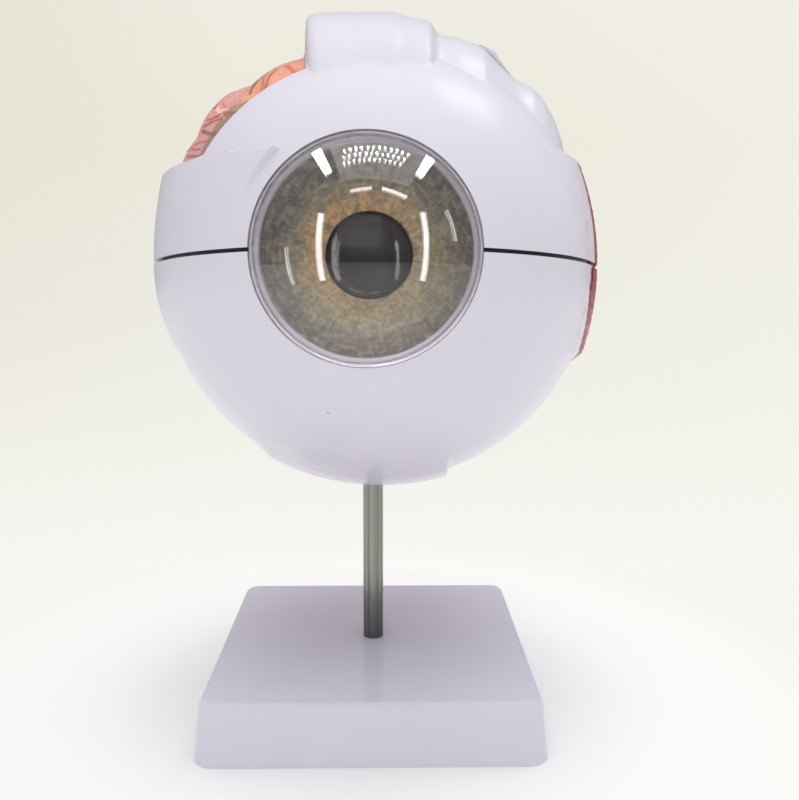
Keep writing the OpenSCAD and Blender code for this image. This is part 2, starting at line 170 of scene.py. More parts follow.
def addNode(tree, kind, inputs=None, **values):
    node = tree.nodes.new(kind)
    for key, value in values.items():
        setattr(node, key, value)
    for key, value in (inputs or {}).items():
        if isinstance(value, bpy.types.NodeSocket):
            tree.links.new(value, node.inputs[key])
        else:
            node.inputs[key].default_value = value
    return node


def math2(tree, operation, first, second=None):
    inputs = {0: first} if second is None else {0: first, 1: second}
    return addNode(tree, "ShaderNodeMath", inputs, operation=operation).outputs[0]


def times(tree, first, second):
    return math2(tree, "MULTIPLY", first, second)


def vector2(tree, operation, first, second, output=0):
    key = "Scale" if operation == "SCALE" else 1
    return addNode(tree, "ShaderNodeVectorMath", {0: first, key: second}, operation=operation).outputs[output]


def lengthOf(tree, vector):
    return addNode(tree, "ShaderNodeVectorMath", {0: vector}, operation="LENGTH").outputs["Value"]


def parting(tree, vector):
    return addNode(tree, "ShaderNodeSeparateXYZ", {0: vector}).outputs


def joining(tree, x=0.0, y=0.0, z=0.0):
    return addNode(tree, "ShaderNodeCombineXYZ", {0: x, 1: y, 2: z}).outputs[0]


def stretch(tree, vector, scale):
    values = {"Vector": vector, "Scale": scale}
    return addNode(tree, "ShaderNodeMapping", values, vector_type="POINT").outputs[0]


def turn(tree, vector, degrees, axis):
    values = {"Vector": vector, "Angle": math.radians(degrees)}
    return addNode(tree, "ShaderNodeVectorRotate", values, rotation_type=axis).outputs[0]


def cells(tree, vector, scale):
    values = {"Vector": vector, "Scale": scale}
    return addNode(tree, "ShaderNodeTexVoronoi", values, feature="DISTANCE_TO_EDGE").outputs["Distance"]


def mapRange(tree, value, fromLow, fromHigh, toLow=0.0, toHigh=1.0):
    values = {"Value": value, "From Min": fromLow, "From Max": fromHigh, "To Min": toLow, "To Max": toHigh}
    return addNode(tree, "ShaderNodeMapRange", values).outputs[0]


def shareOut(tree, output, share, first, second):
    # shows the first shader, and the second where share is 1
    mixer = addNode(tree, "ShaderNodeMixShader", {0: share, 1: first.outputs[0], 2: second.outputs[0]})
    tree.links.new(mixer.outputs[0], output.inputs["Surface"])


def feed(tree, bsdf, colour=None, rough=None):
    # each value is a colour or number, or a socket that gives one
    for name, value in (("Base Color", colour), ("Roughness", rough)):
        if isinstance(value, bpy.types.NodeSocket):
            tree.links.new(value, bsdf.inputs[name])
        elif value is not None:
            bsdf.inputs[name].default_value = value


def objectPoints(tree, place=None):
    # Object coordinates in millimetres, in the row frame or in the eye's own frame
    coords = addNode(tree, "ShaderNodeTexCoord").outputs["Object"]
    if place == "eye":
        coords = vector2(tree, "SUBTRACT", coords, (eyePlace["x"] * mm, 0, eyePlace["z"] * mm))
        coords = turn(tree, coords, -eyePlace["turn"], "Z_AXIS")
        coords = turn(tree, coords, eyePlace["lean"], "X_AXIS")
    return vector2(tree, "SCALE", coords, 1000.0)


def noise(tree, vector, scale, detail, roughness, distortion=0.0, output="Fac"):
    values = {"Vector": vector, "Scale": scale, "Detail": detail, "Roughness": roughness, "Distortion": distortion}
    return addNode(tree, "ShaderNodeTexNoise", values).outputs[output]


def srgb(r, g, b):
    # colours are noted as they look on screen, 0 to 255
    def linear(c):
        c = c / 255
        return c / 12.92 if c <= 0.04045 else ((c + 0.055) / 1.055) ** 2.4
    return (linear(r), linear(g), linear(b))


def ramp(tree, factor, stops, interpolation="LINEAR"):
    node = addNode(tree, "ShaderNodeValToRGB", {"Fac": factor})
    node.color_ramp.interpolation = interpolation
    elements = node.color_ramp.elements
    while len(elements) < len(stops):
        elements.new(0.5)
    for element, (position, colour) in zip(elements, stops):
        element.position = position
        element.color = (*srgb(*colour), 1)
    return node.outputs["Color"]


def mixColour(tree, factor, first, second, blend="MIX"):
    node = addNode(tree, "ShaderNodeMix", data_type="RGBA", blend_type=blend)
    for key, value in (("Factor", factor), ("A", first), ("B", second)):
        kind = "VALUE" if key == "Factor" else "RGBA"
        socket = [s for s in node.inputs if s.name == key and s.type == kind][0]
        if isinstance(value, bpy.types.NodeSocket):
            tree.links.new(value, socket)
        elif key == "Factor":
            socket.default_value = value
        else:
            # three numbers are a colour as on screen, four are already linear
            socket.default_value = value if len(value) == 4 else (*srgb(*value), 1)
    return [s for s in node.outputs if s.type == "RGBA"][0]


def makeMouldGroup():
    # fine unevenness of moulded plastic: cloudy colour, roughness and a faint ripple
    group = bpy.data.node_groups.new("MouldedSurface", "ShaderNodeTree")
    for name, kind in (("Vector", "NodeSocketVector"), ("Cloud Size", "NodeSocketFloat")):
        group.interface.new_socket(name=name, in_out="INPUT", socket_type=kind)
    for name in ("Cloud", "Grain", "Dust", "Height"):
        group.interface.new_socket(name=name, in_out="OUTPUT", socket_type="NodeSocketFloat")
    source = group.nodes.new("NodeGroupInput")
    sink = group.nodes.new("NodeGroupOutput")
    vector = source.outputs["Vector"]
    cloud = noise(group, vector, 0.03, 4, 0.55)
    group.links.new(source.outputs["Cloud Size"], cloud.node.inputs["Scale"])
    grain = noise(group, vector, 2.2, 2, 0.6)
    specks = addNode(group, "ShaderNodeTexVoronoi", {"Vector": vector, "Scale": 0.022, "Randomness": 1.0})
    dust = mapRange(group, specks.outputs["Distance"], 0.006, 0.011, 1.0, 0.0)
    height = math2(group, "ADD", times(group, cloud, 0.7), times(group, grain, 0.012))
    for name, value in (("Cloud", cloud), ("Grain", grain), ("Dust", dust), ("Height", height)):
        group.links.new(value, sink.inputs[name])
    return group


mouldGroup = makeMouldGroup()


def mould(tree, vector, cloudSize=0.03):
    node = tree.nodes.new("ShaderNodeGroup")
    node.node_tree = mouldGroup
    tree.links.new(vector, node.inputs["Vector"])
    node.inputs["Cloud Size"].default_value = cloudSize
    return node.outputs


def bump(tree, bsdf, height, strength, distance):
    node = addNode(tree, "ShaderNodeBump", {"Height": height, "Strength": strength, "Distance": distance})
    tree.links.new(node.outputs["Normal"], bsdf.inputs["Normal"])
    return node


def plasticMaterial(name, colour, shade, rough, speckles=True, coat=0.0, paint=None):
    material, tree, bsdf, output = newMaterial(name)
    points = objectPoints(tree)
    surface = mould(tree, points, 0.02)
    base = mixColour(tree, mapRange(tree, surface["Cloud"], 0.3, 0.7), colour, shade)
    if speckles:
        base = mixColour(tree, times(tree, surface["Dust"], 0.7), base, (70, 66, 74))
    if paint:
        base = paint(tree, base)
    feed(tree, bsdf, base)
    feed(tree, bsdf, rough=mapRange(tree, surface["Grain"], 0.3, 0.7, rough - 0.02, rough + 0.03))
    bsdf.inputs["IOR"].default_value = 1.5
    bsdf.inputs["Coat Weight"].default_value = coat
    bsdf.inputs["Coat Roughness"].default_value = 0.06
    bump(tree, bsdf, surface["Height"], 0.12, 0.0003)
    return material


def between(tree, value, low, high):
    # 1 inside a band, 0 outside it
    above = math2(tree, "GREATER_THAN", value, low)
    return times(tree, above, math2(tree, "LESS_THAN", value, high))


# where painted shade goes on the white halves, in mm: reach from the ball's middle, distance from the eye's axis,
# and distance in front of the middle
shellMarks = {
    "slitHalf": 0.66, "slitDepth": (79.0, 80.95), "rebate": (35.75, 36.05), "rebateFloor": 69.7,
    "bore": (34.0, 34.42), "boreDepth": (64.8, 69.56)}


def shellShadeAndSmear(tree, base):
    # painted shade: dark walls and floor in the slit and greyed walls round the cornea, and the pink smear beside
    # the inner muscle
    points = objectPoints(tree, "eye")
    place = parting(tree, points)
    reach = lengthOf(tree, points)
    radius = lengthOf(tree, vector2(tree, "MULTIPLY", points, (1, 0, 1)))
    ahead = times(tree, place["Y"], -1.0)
    aside = math2(tree, "ABSOLUTE", place["Z"])
    slitShadeMask = between(tree, reach, *shellMarks["slitDepth"])
    slitShadeMask = times(tree, math2(tree, "LESS_THAN", aside, shellMarks["slitHalf"]), slitShadeMask)
    rebateShadeMask = math2(tree, "GREATER_THAN", ahead, shellMarks["rebateFloor"])
    rebateShadeMask = times(tree, between(tree, radius, *shellMarks["rebate"]), rebateShadeMask)
    boreShadeMask = between(tree, ahead, *shellMarks["boreDepth"])
    boreShadeMask = times(tree, between(tree, radius, *shellMarks["bore"]), boreShadeMask)
    # painted shade: the slit's walls and floor made dark, the rebate and bore walls round the cornea greyed
    base = mixColour(tree, slitShadeMask, base, (40, 32, 30))
    base = mixColour(tree, rebateShadeMask, base, (128, 120, 128))
    base = mixColour(tree, boreShadeMask, base, (176, 164, 172))
    patch = noise(tree, points, 0.22, 4, 0.65)
    smear = times(tree, mapRange(tree, place["Y"], -39.0, -27.0), mapRange(tree, place["X"], 66.0, 74.0))
    smear = times(tree, smear, mapRange(tree, aside, 37.0, 28.0))
    smear = times(tree, smear, mapRange(tree, patch, 0.44, 0.62, 0.0, 0.5))
    return mixColour(tree, smear, base, (214, 150, 158))


# glossy white of the ball and of the base
shellWhite = plasticMaterial("ScleraWhite", (218, 215, 225), (214, 211, 221), 0.24, paint=shellShadeAndSmear)
baseWhite = plasticMaterial("BaseWhite", (212, 209, 221), (208, 205, 218), 0.1, coat=0.3)


def steelMaterial():
    # bright steel with painted reflections: light and dark upright bands round it, fine upright streaks that are
    # partly polish and partly painted reflection, and painted shade darker towards the foot
    material, tree, bsdf, output = newMaterial("RodSteel")
    points = objectPoints(tree)
    parts = parting(tree, points)
    angle = math2(tree, "ARCTAN2", parts["Y"], parts["X"])
    around = joining(tree, math2(tree, "COSINE", angle), math2(tree, "SINE", angle))
    wide = noise(tree, around, 2.6, 3, 0.7)
    streak = noise(tree, stretch(tree, points, (3.0, 3.0, 0.04)), 1.0, 4, 0.6)
    # painted reflections: light and dark upright bands round the rod
    colour = ramp(tree, wide, [
        (0.32, (98, 99, 92)), (0.45, (156, 157, 148)), (0.56, (110, 109, 101)), (0.66, (194, 195, 186))])
    colour = mixColour(tree, mapRange(tree, streak, 0.35, 0.65, 0.0, 0.4), colour, (132, 132, 124))
    # painted shade, darker towards the foot of the rod
    foot = mapRange(tree, parts["Z"], 22.0, 42.0, 0.55, 0.0)
    feed(tree, bsdf, mixColour(tree, foot, colour, (78, 78, 80)))
    bsdf.inputs["Metallic"].default_value = 1.0
    feed(tree, bsdf, rough=mapRange(tree, streak, 0.3, 0.7, 0.14, 0.28))
    bump(tree, bsdf, streak, 0.25, 0.00008)
    return material


def brassMaterial():
    material, tree, bsdf, output = newMaterial("InsertBrass")
    points = objectPoints(tree)
    grain = noise(tree, points, 1.5, 4, 0.6)
    feed(tree, bsdf, ramp(tree, grain, [(0.3, (176, 138, 66)), (0.7, (214, 178, 96))]))
    bsdf.inputs["Metallic"].default_value = 1.0
    feed(tree, bsdf, rough=mapRange(tree, grain, 0.3, 0.7, 0.25, 0.4))
    return material


def clearMaterial(name, tint, rough, bend):
    # clear plastic: light for what lies behind it passes straight through
    material, tree, bsdf, output = newMaterial(name)
    bsdf.inputs["Base Color"].default_value = (*tint, 1)
    bsdf.inputs["Transmission Weight"].default_value = 1.0
    bsdf.inputs["IOR"].default_value = bend
    points = objectPoints(tree)
    surface = mould(tree, points, 0.05)
    feed(tree, bsdf, rough=mapRange(tree, surface["Grain"], 0.35, 0.75, rough * 0.5, rough * 1.6))
    seeThrough = addNode(tree, "ShaderNodeBsdfTransparent", {"Color": (0.96, 0.97, 0.97, 1)})
    light = tree.nodes.new("ShaderNodeLightPath")
    shareOut(tree, output, light.outputs["Is Shadow Ray"], bsdf, seeThrough)
    return material


rodSteel = steelMaterial()
insertBrass = brassMaterial()
corneaClear = clearMaterial("CorneaClear", (0.985, 0.99, 0.99), 0.008, 1.45)
lensClear = clearMaterial("LensClear", (0.84, 0.74, 0.66), 0.015, 1.3)
vitreousClear = clearMaterial("VitreousClear", (0.9, 0.88, 0.86), 0.03, 1.12)


def muscleMaterial():
    # red belly with long fibres that run towards the back; the fibre colour is partly the red's own tone and
    # partly painted shade, darker in the furrows between the bundles
    material, tree, bsdf, output = newMaterial("MuscleRed")
    points = objectPoints(tree, "eye")
    polar = parting(tree, points)
    angle = math2(tree, "ARCTAN2", polar["Z"], polar["X"])
    across, upward = (times(tree, math2(tree, kind, angle), 26.0) for kind in ("COSINE", "SINE"))
    wave = joining(tree, across, upward, times(tree, polar["Y"], 0.05))
    fibre = noise(tree, wave, 1.6, 5, 0.65, 0.4)
    blotch = noise(tree, points, 0.05, 3, 0.55)
    # painted shade: the fibre colour darkens where the bump runs low, in the furrows
    red = ramp(tree, fibre, [(0.28, (104, 18, 24)), (0.5, (158, 32, 38)), (0.72, (204, 78, 76))])
    red = mixColour(tree, mapRange(tree, blotch, 0.35, 0.75, 0.0, 0.45), red, (132, 24, 32))
    feed(tree, bsdf, red, rough=mapRange(tree, fibre, 0.3, 0.7, 0.42, 0.26))
    bump(tree, bsdf, fibre, 0.5, 0.0005)
    return material


def tendonMaterial():
    # lavender tendon in front, red belly behind; the belly's fibre colour is partly painted shade, darker where
    # its bump runs low
    material, tree, bsdf, output = newMaterial("ObliqueTendon")
    points = objectPoints(tree, "eye")
    place = parting(tree, points)
    fibre = noise(tree, stretch(tree, points, (1.6, 0.12, 1.6)), 0.8, 4, 0.6)
    edge = math2(tree, "ADD", place["Y"], times(tree, fibre, 16.0))
    tendon = ramp(tree, fibre, [(0.3, (214, 212, 222)), (0.7, (226, 224, 232))])
    # painted shade: the belly darkens where the fibre bump runs low
    belly = ramp(tree, fibre, [(0.28, (110, 20, 26)), (0.5, (160, 36, 40)), (0.72, (204, 80, 78))])
    feed(tree, bsdf, mixColour(tree, mapRange(tree, edge, 16.0, 24.0), tendon, belly))
    feed(tree, bsdf, rough=mapRange(tree, fibre, 0.3, 0.7, 0.4, 0.28))
    bump(tree, bsdf, fibre, 0.5, 0.0005)
    return material


muscleRed = muscleMaterial()
obliqueTendon = tendonMaterial()


def choroidMaterial():
    # red-brown coat with a net of vessels outside, orange retina inside, told apart by their reach
    material, tree, bsdf, output = newMaterial("ChoroidCoat")
    points = objectPoints(tree, "eye")
    reach = lengthOf(tree, points)
    inner = mapRange(tree, reach, 74.2, 74.8, 1.0, 0.0)
    blotch = noise(tree, points, 0.045, 5, 0.6)
    fine = noise(tree, points, 0.6, 4, 0.6)
    push = vector2(tree, "SCALE", noise(tree, points, 0.06, 3, 0.5, output="Color"), 14.0)
    web = cells(tree, vector2(tree, "ADD", points, push), 0.085)
    vessel = mapRange(tree, web, 0.03, 0.075, 1.0, 0.0)
    outside = ramp(tree, blotch, [(0.3, (84, 34, 26)), (0.55, (116, 48, 34)), (0.75, (146, 66, 44))])
    outside = mixColour(tree, times(tree, vessel, 0.75), outside, (168, 52, 40))
    retina = ramp(tree, blotch, [(0.3, (206, 96, 52)), (0.55, (224, 120, 66)), (0.75, (236, 146, 88))])
    retina = mixColour(tree, mapRange(tree, fine, 0.35, 0.7, 0.0, 0.25), retina, (196, 84, 46))
    fovea = vector2(tree, "DISTANCE", points, (-12.0, 72.5, 6.0), "Value")
    retina = mixColour(tree, mapRange(tree, fovea, 4.0, 10.0, 0.6, 0.0), retina, (150, 62, 30))
    feed(tree, bsdf, mixColour(tree, inner, outside, retina), rough=mapRange(tree, fine, 0.3, 0.7, 0.38, 0.5))
    relief = times(tree, vessel, math2(tree, "SUBTRACT", 1.0, inner))
    bump(tree, bsdf, math2(tree, "ADD", relief, times(tree, fine, 0.3)), 0.4, 0.0004)
    return material


choroidCoat = choroidMaterial()


def nerveMaterial():
    # cut end of the nerve: pale bundles with darker lines between them
    material, tree, bsdf, output = newMaterial("NerveYellow")
    points = objectPoints(tree, "eye")
    parts = parting(tree, turn(tree, points, 13, "Z_AXIS"))
    bundles = cells(tree, joining(tree, parts["X"], 0.0, parts["Z"]), 0.55)
    colour = ramp(tree, bundles, [(0.02, (186, 140, 72)), (0.16, (236, 206, 134)), (0.5, (246, 222, 158))])
    feed(tree, bsdf, colour, 0.45)
    bump(tree, bsdf, bundles, 0.6, 0.0008)
    return material


def ciliaryMaterial():
    # painted shade in the dark folds and painted highlight on the paler crests
    material, tree, bsdf, output = newMaterial("CiliaryBrown")
    points = objectPoints(tree, "eye")
    parts = parting(tree, points)
    angle = math2(tree, "ARCTAN2", parts["Z"], parts["X"])
    fold = math2(tree, "COSINE", times(tree, angle, 72.0))
    fine = noise(tree, points, 0.5, 4, 0.6)
    shade = math2(tree, "ADD", times(tree, fold, 0.14), fine)
    # painted shade and highlight: darker in the folds, paler on the crests
    colour = ramp(tree, shade, [(0.3, (70, 32, 22)), (0.5, (112, 58, 38)), (0.7, (150, 92, 64))])
    feed(tree, bsdf, colour, 0.4)
    bump(tree, bsdf, shade, 0.5, 0.0005)
    return material


def irisMaterial():
    # printed iris: radial fibres, a tan middle, grey rim and golden patches round the pupil; painted shade greys
    # its upper part
    material, tree, bsdf, output = newMaterial("IrisHazel")
    points = objectPoints(tree, "eye")
    parts = parting(tree, points)
    radius = lengthOf(tree, vector2(tree, "MULTIPLY", points, (1, 0, 1)))
    angle = math2(tree, "ARCTAN2", parts["Z"], parts["X"])
    cosine, sine = math2(tree, "COSINE", angle), math2(tree, "SINE", angle)

    def polar(turns, run):
        return joining(tree, times(tree, cosine, turns), times(tree, sine, turns), times(tree, radius, run))

    fibre = noise(tree, polar(30.0, 0.28), 1.0, 5, 0.7, 0.6)
    broad = noise(tree, polar(6.0, 0.3), 1.0, 4, 0.6, 0.5)
    rings = noise(tree, polar(8.0, 0.75), 1.0, 5, 0.66, 0.5)
    spread = math2(tree, "ADD", radius, mapRange(tree, broad, 0.3, 0.7, -1.8, 1.8))
    share = mapRange(tree, spread, 13.0, 34.0)
    base = ramp(tree, share, [
        (0.0, (62, 44, 28)), (0.1, (108, 84, 50)), (0.25, (118, 98, 60)), (0.42, (110, 99, 70)),
        (0.6, (100, 92, 78)), (0.76, (86, 78, 76)), (0.86, (70, 62, 64)), (0.9, (52, 46, 50))])
    # painted shade: greyer over the upper part of the outer iris
    height = math2(tree, "ADD", parts["Z"], mapRange(tree, broad, 0.3, 0.7, -8.0, 8.0))
    upper = mapRange(tree, height, 4.0, 26.0, 0.0, 0.75)
    outer = mapRange(tree, radius, 17.0, 24.0)
    base = mixColour(tree, times(tree, upper, outer), base, (82, 78, 80))
    gold = times(tree, mapRange(tree, radius, 25.0, 18.5), mapRange(tree, broad, 0.42, 0.6))
    corner = math2(tree, "ADD", times(tree, cosine, -0.5), times(tree, sine, 0.6))
    gold = times(tree, gold, mapRange(tree, corner, -0.5, 0.7, 0.15, 0.85))
    base = mixColour(tree, gold, base, (178, 124, 54))
    base = mixColour(tree, mapRange(tree, rings, 0.48, 0.66, 0.0, 0.5), base, (158, 146, 112))
    base = mixColour(tree, mapRange(tree, rings, 0.5, 0.34, 0.0, 0.5), base, (66, 56, 46))
    light = mixColour(tree, mapRange(tree, fibre, 0.5, 0.72, 0.0, 0.35), base, (164, 150, 116))
    dark = mixColour(tree, mapRange(tree, fibre, 0.48, 0.3, 0.0, 0.5), light, (52, 44, 40))
    rim = mixColour(tree, mapRange(tree, radius, 32.3, 32.8), dark, (170, 159, 168))
    feed(tree, bsdf, rim, rough=0.38)
    bsdf.inputs["Coat Weight"].default_value = 0.35
    bsdf.inputs["Coat Roughness"].default_value = 0.12
    bump(tree, bsdf, fibre, 0.35, 0.0004)
    return material


def paintedMaterial():
    # the window's painting, kept in the mesh as a colour attribute, under uneven varnish
    material, tree, bsdf, output = newMaterial("WindowPaint")
    paint = addNode(tree, "ShaderNodeAttribute", attribute_name="paint").outputs["Color"]
    points = objectPoints(tree)
    brush = noise(tree, points, 0.9, 4, 0.65)
    streaks = noise(tree, stretch(tree, points, (0.5, 0.12, 0.5)), 1.2, 4, 0.6)
    colour = mixColour(tree, mapRange(tree, brush, 0.35, 0.7, 0.0, 0.25), paint, (246, 196, 176))
    colour = mixColour(tree, mapRange(tree, streaks, 0.5, 0.3, 0.0, 0.22), colour, (150, 70, 60))
    feed(tree, bsdf, colour, rough=mapRange(tree, brush, 0.3, 0.7, 0.24, 0.36))
    bump(tree, bsdf, brush, 0.3, 0.0003)
    return material


nerveYellow = nerveMaterial()
ciliaryBrown = ciliaryMaterial()
irisHazel = irisMaterial()
windowPaint = paintedMaterial()
sheathCream = plasticMaterial("SheathCream", (226, 214, 204), (214, 198, 190), 0.35, speckles=False)
arteryRed = plasticMaterial("ArteryRed", (186, 26, 30), (158, 18, 24), 0.3, speckles=False)
veinBlue = plasticMaterial("VeinBlue", (54, 78, 150), (40, 60, 128), 0.3, speckles=False)
pinWhite = plasticMaterial("PinWhite", (222, 222, 226), (212, 212, 218), 0.35, speckles=False)
print("materials made")


# form of the white shells: a ball with the muscles' white ends raised from it
ball = {"outer": 81.1, "inner": 77.1, "slit": 0.65, "slitFloor": 79.1}
medialStrap = {
    "faceR": (100.0, 106.0), "reach": 84.05, "shift": 7.4, "low": -37.0, "soft": 6.0, "high": 38.5,
    "end": (-28.0, -21.0), "slant": 9.0}
lateralStrap = {
    "faceR": (66.0, 150.0), "reach": 84.4, "shift": 4.0, "low": -36.0, "soft": 6.0, "high": 32.5,
    "end": (-9.0, -9.0), "slant": 0.0}
lowerStrap = {
    "faceR": 92.0, "reach": 84.1, "centreX": 1.0, "shift": 7.4, "left": (-46.0, -38.0), "right": (26.5, 28.5),
    "end": 4.0}
upperStrap = {"rampZ": 35.0, "shift": 3.0, "end": -9.0, "narrow": 5.7, "profile": [
    (-26.4, 40), (-26.1, 86.6), (-25.2, 89.6), (-23.5, 91.1), (-19.2, 91.7), (6.5, 91.7), (10.5, 90.3),
    (19.5, 88.6), (21.6, 84.9), (24, 83.9), (30, 82.9), (38, 80.2), (44, 74.3), (50, 69.3), (53, 67.7),
    (56, 66.6), (60, 63.2), (65, 55.5), (69, 46), (75, 10)]}


def step(value, low, high):
    t = np.clip((value - low) / (high - low), 0, 1)
    return t * t * (3 - 2 * t)


def solveRay(dirs, outside):
    # distance along each ray at which outside(points) turns positive
    low = np.full(len(dirs), 60.0)
    high = np.full(len(dirs), 110.0)
    for _ in range(24):
        middle = (low + high) / 2
        out = outside(dirs * middle[:, None]) > 0
        high = np.where(out, middle, high)
        low = np.where(out, low, middle)
    return (low + high) / 2


def sideOutside(s):
    def outside(p):
        across = np.hypot(p[:, 0], p[:, 1] - s["shift"])
        face = np.where(p[:, 2] < 0, *s["faceR"])
        return across - (s["reach"] - face) - np.sqrt(np.maximum(face ** 2 - p[:, 2] ** 2, 0))
    return outside


def lowerOutside(p):
    s = lowerStrap
    across = np.hypot(p[:, 2], p[:, 1] - s["shift"])
    face = s["faceR"]
    return across - (s["reach"] - face) - np.sqrt(np.maximum(face ** 2 - (p[:, 0] - s["centreX"]) ** 2, 0))


def upperProfile(x):
    xs, tops = zip(*upperStrap["profile"])
    return sum(np.interp(x + shift, xs, tops) for shift in (-0.9, -0.4, 0, 0.4, 0.9)) / 5


def upperOutside(p):
    # the left wall leans towards the middle as it runs forward
    s = upperStrap
    narrow = s["narrow"] * np.interp(-p[:, 1], [8, 52], [0, 1]) ** 2 * np.clip((5 - p[:, 0]) / 15, 0, 1)
    profile = upperProfile(p[:, 0] - narrow)
    y = p[:, 1] + s["shift"]
    back = np.hypot(p[:, 2], y) - profile
    front = np.hypot(p[:, 2] - s["rampZ"], y) - (profile - s["rampZ"])
    return np.where(y > 0, back, front)


def rise(radius):
    # height above the ball with a soft start
    h = radius - ball["outer"]
    return 0.5 * (h + np.sqrt(h * h + 0.25)) - 0.25 * np.exp(-np.abs(h))


def lowerEnd(s, z):
    # the lower red part starts further back the lower it lies
    return s["end"][0] + s["slant"] * np.clip((-z - 3) / 32, 0, 1)


def ending(y, end):
    return 1 - step(y, end - 0.2, end + 0.9)


def outerRadius(dirs, half, white=True):
    # the white form; without its ends at the red parts where white is False
    radius = np.full(len(dirs), ball["outer"])
    x, y, z = (dirs * ball["outer"]).T
    narrowing = np.interp(y, [0, 29, 58], [1, 0.82, 0.55])
    for side, s in ((-1, lateralStrap), (1, medialStrap)):
        near = (x * side > 20) & (z > s["low"] - 6) & (z < s["high"] + 6) & (y < 30) & (y > -70)
        near &= (z < 0) if half < 0 else (z > 0)
        if not near.any():
            continue
        found = solveRay(dirs[near], sideOutside(s))
        zTrue = dirs[near, 2] * found
        k = narrowing[near]
        mask = step(zTrue, s["low"] * k, (s["low"] + s["soft"]) * k)
        mask *= 1 - step(zTrue, s["high"] * k - 1.6, s["high"] * k)
        if white:
            mask *= ending(dirs[near, 1] * found, lowerEnd(s, zTrue) if half < 0 else s["end"][1])
        radius[near] = np.maximum(radius[near], ball["outer"] + rise(found) * mask)
    if half < 0:
        s = lowerStrap
        near = (z < -50) & (x > -52) & (x < 34) & (y < 20)
        found = solveRay(dirs[near], lowerOutside)
        xTrue = dirs[near, 0] * found
        mask = step(xTrue, *s["left"]) * (1 - step(xTrue, *s["right"]))
        mask = mask * ending(dirs[near, 1] * found, s["end"])
        radius[near] = np.maximum(radius[near], ball["outer"] + rise(found) * mask)
    else:
        s = upperStrap
        near = (z > 30) & (x > -34) & (x < 74) & (y < 20) & (y > -72)
        found = solveRay(dirs[near], upperOutside)
        mask = ending(dirs[near, 1] * found, s["end"]) if white else 1
        radius[near] = np.maximum(radius[near], ball["outer"] + rise(found) * mask)
    return radius


collar = {
    "outer": 40.4, "back": 62.6, "ledge": 31.1, "ledgeTop": 64.9, "bore": 34.3, "seat": 69.6, "rebate": 35.9}


def hollowCutter():
    # everything that is taken out of the ball from inside and through the front
    c = collar
    start = math.asin(c["outer"] / ball["inner"])
    arc = [(ball["inner"] * math.sin(a), ball["inner"] * math.cos(a)) for a in np.linspace(math.pi, start, 60)]
    arc[0] = (0, -ball["inner"])
    profile = arc + [
        (c["outer"], c["back"]), (c["ledge"], c["back"]), (c["ledge"], c["ledgeTop"]), (c["bore"], c["ledgeTop"]),
        (c["bore"], c["seat"]), (c["rebate"] - 0.25, c["seat"]), (c["rebate"], c["seat"] + 0.25),
        (c["rebate"], 90), (0, 90)]
    obj = lathe("hollowCutter", profile, 180)
    return settle(obj, Matrix.Rotation(math.radians(90), 4, "X"))


def meshPoints(obj):
    points = np.zeros(len(obj.data.vertices) * 3)
    obj.data.vertices.foreach_get("co", points)
    return points.reshape(-1, 3)


def setPoints(obj, points):
    obj.data.vertices.foreach_set("co", points.ravel())
    obj.data.update()


def halfShell(name, half):
    # a ball with its poles on the eye's axis, cut at the slit, then pushed out to the muscles' white ends
    deselectAll()
    columns, rows = ((560, 290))
    bpy.ops.mesh.primitive_uv_sphere_add(segments=columns, ring_count=rows, radius=ball["outer"])
    obj = named(bpy.context.object, name)
    settle(obj, Matrix.Rotation(math.radians(90), 4, "X"))
    openMesh(obj)
    plane = {"plane_co": (0, 0, 0), "plane_no": (0, 0, half)}
    bpy.ops.mesh.bisect(**plane, use_fill=True, clear_inner=True, threshold=0.0005)
    bpy.ops.object.mode_set(mode="OBJECT")
    points = meshPoints(obj)
    lengths = np.linalg.norm(points, axis=1)
    shell = lengths > ball["outer"] * 0.98
    dirs = points[shell] / lengths[shell][:, None]
    points[shell] = dirs * outerRadius(dirs, half)[:, None]
    setPoints(obj, points)
    carve(obj, hollowCutter())
    floor, side = ball["slitFloor"], ball["slit"]
    carve(obj, lathe("slitCutter", [(floor, -side), (120, -side), (120, side), (floor, side)], 180))
    return obj


def cylinderCutter(radius, start, direction, length, vertices=64):
    deselectAll()
    direction = Vector(direction).normalized()
    centre = Vector(start) + direction * length / 2
    size = {"vertices": vertices, "radius": radius, "depth": length}
    facing = direction.to_track_quat("Z", "Y").to_euler()
    bpy.ops.mesh.primitive_cylinder_add(**size, location=centre, rotation=facing)
    return settle(bpy.context.object, Matrix.Identity(4))


nerve = {"turn": 13.0, "outer": 12.0, "room": 0.3}
nerveDirection = (math.sin(math.radians(nerve["turn"])), math.cos(math.radians(nerve["turn"])), 0)
pin = {"radius": 1.5, "room": 0.3, "places": ((-37.35, -65.75), (37.35, -65.75), (-72.37, 42.0), (73.0, 42.0))}
window = {
    "front": -49.5, "back": 44.0, "low": 33.0, "bend": -8.0, "frontX": -21.1, "backX": -27.6, "radius": 79.9}
socket = {"radius": 7.5, "bore": 4.06, "foot": 87.6, "rodTop": 104.28, "top": 106.22}


def windowCutter():
    deselectAll()
    w = window
    outline = [
        (-130, w["front"]), (w["frontX"], w["front"]), (w["backX"], w["bend"]), (w["backX"], w["back"]),
        (-130, w["back"])]
    bpy.ops.mesh.primitive_circle_add(vertices=len(outline), radius=1, fill_type="NGON", location=(0, 0, 0))
    obj = bpy.context.object
    for vertex, (x, y) in zip(obj.data.vertices, outline):
        vertex.co = (x, y, w["low"])
    openMesh(obj)
    bpy.ops.mesh.extrude_region_move(TRANSFORM_OT_translate={"value": (0, 0, 90)})
    closeMesh()
    return obj


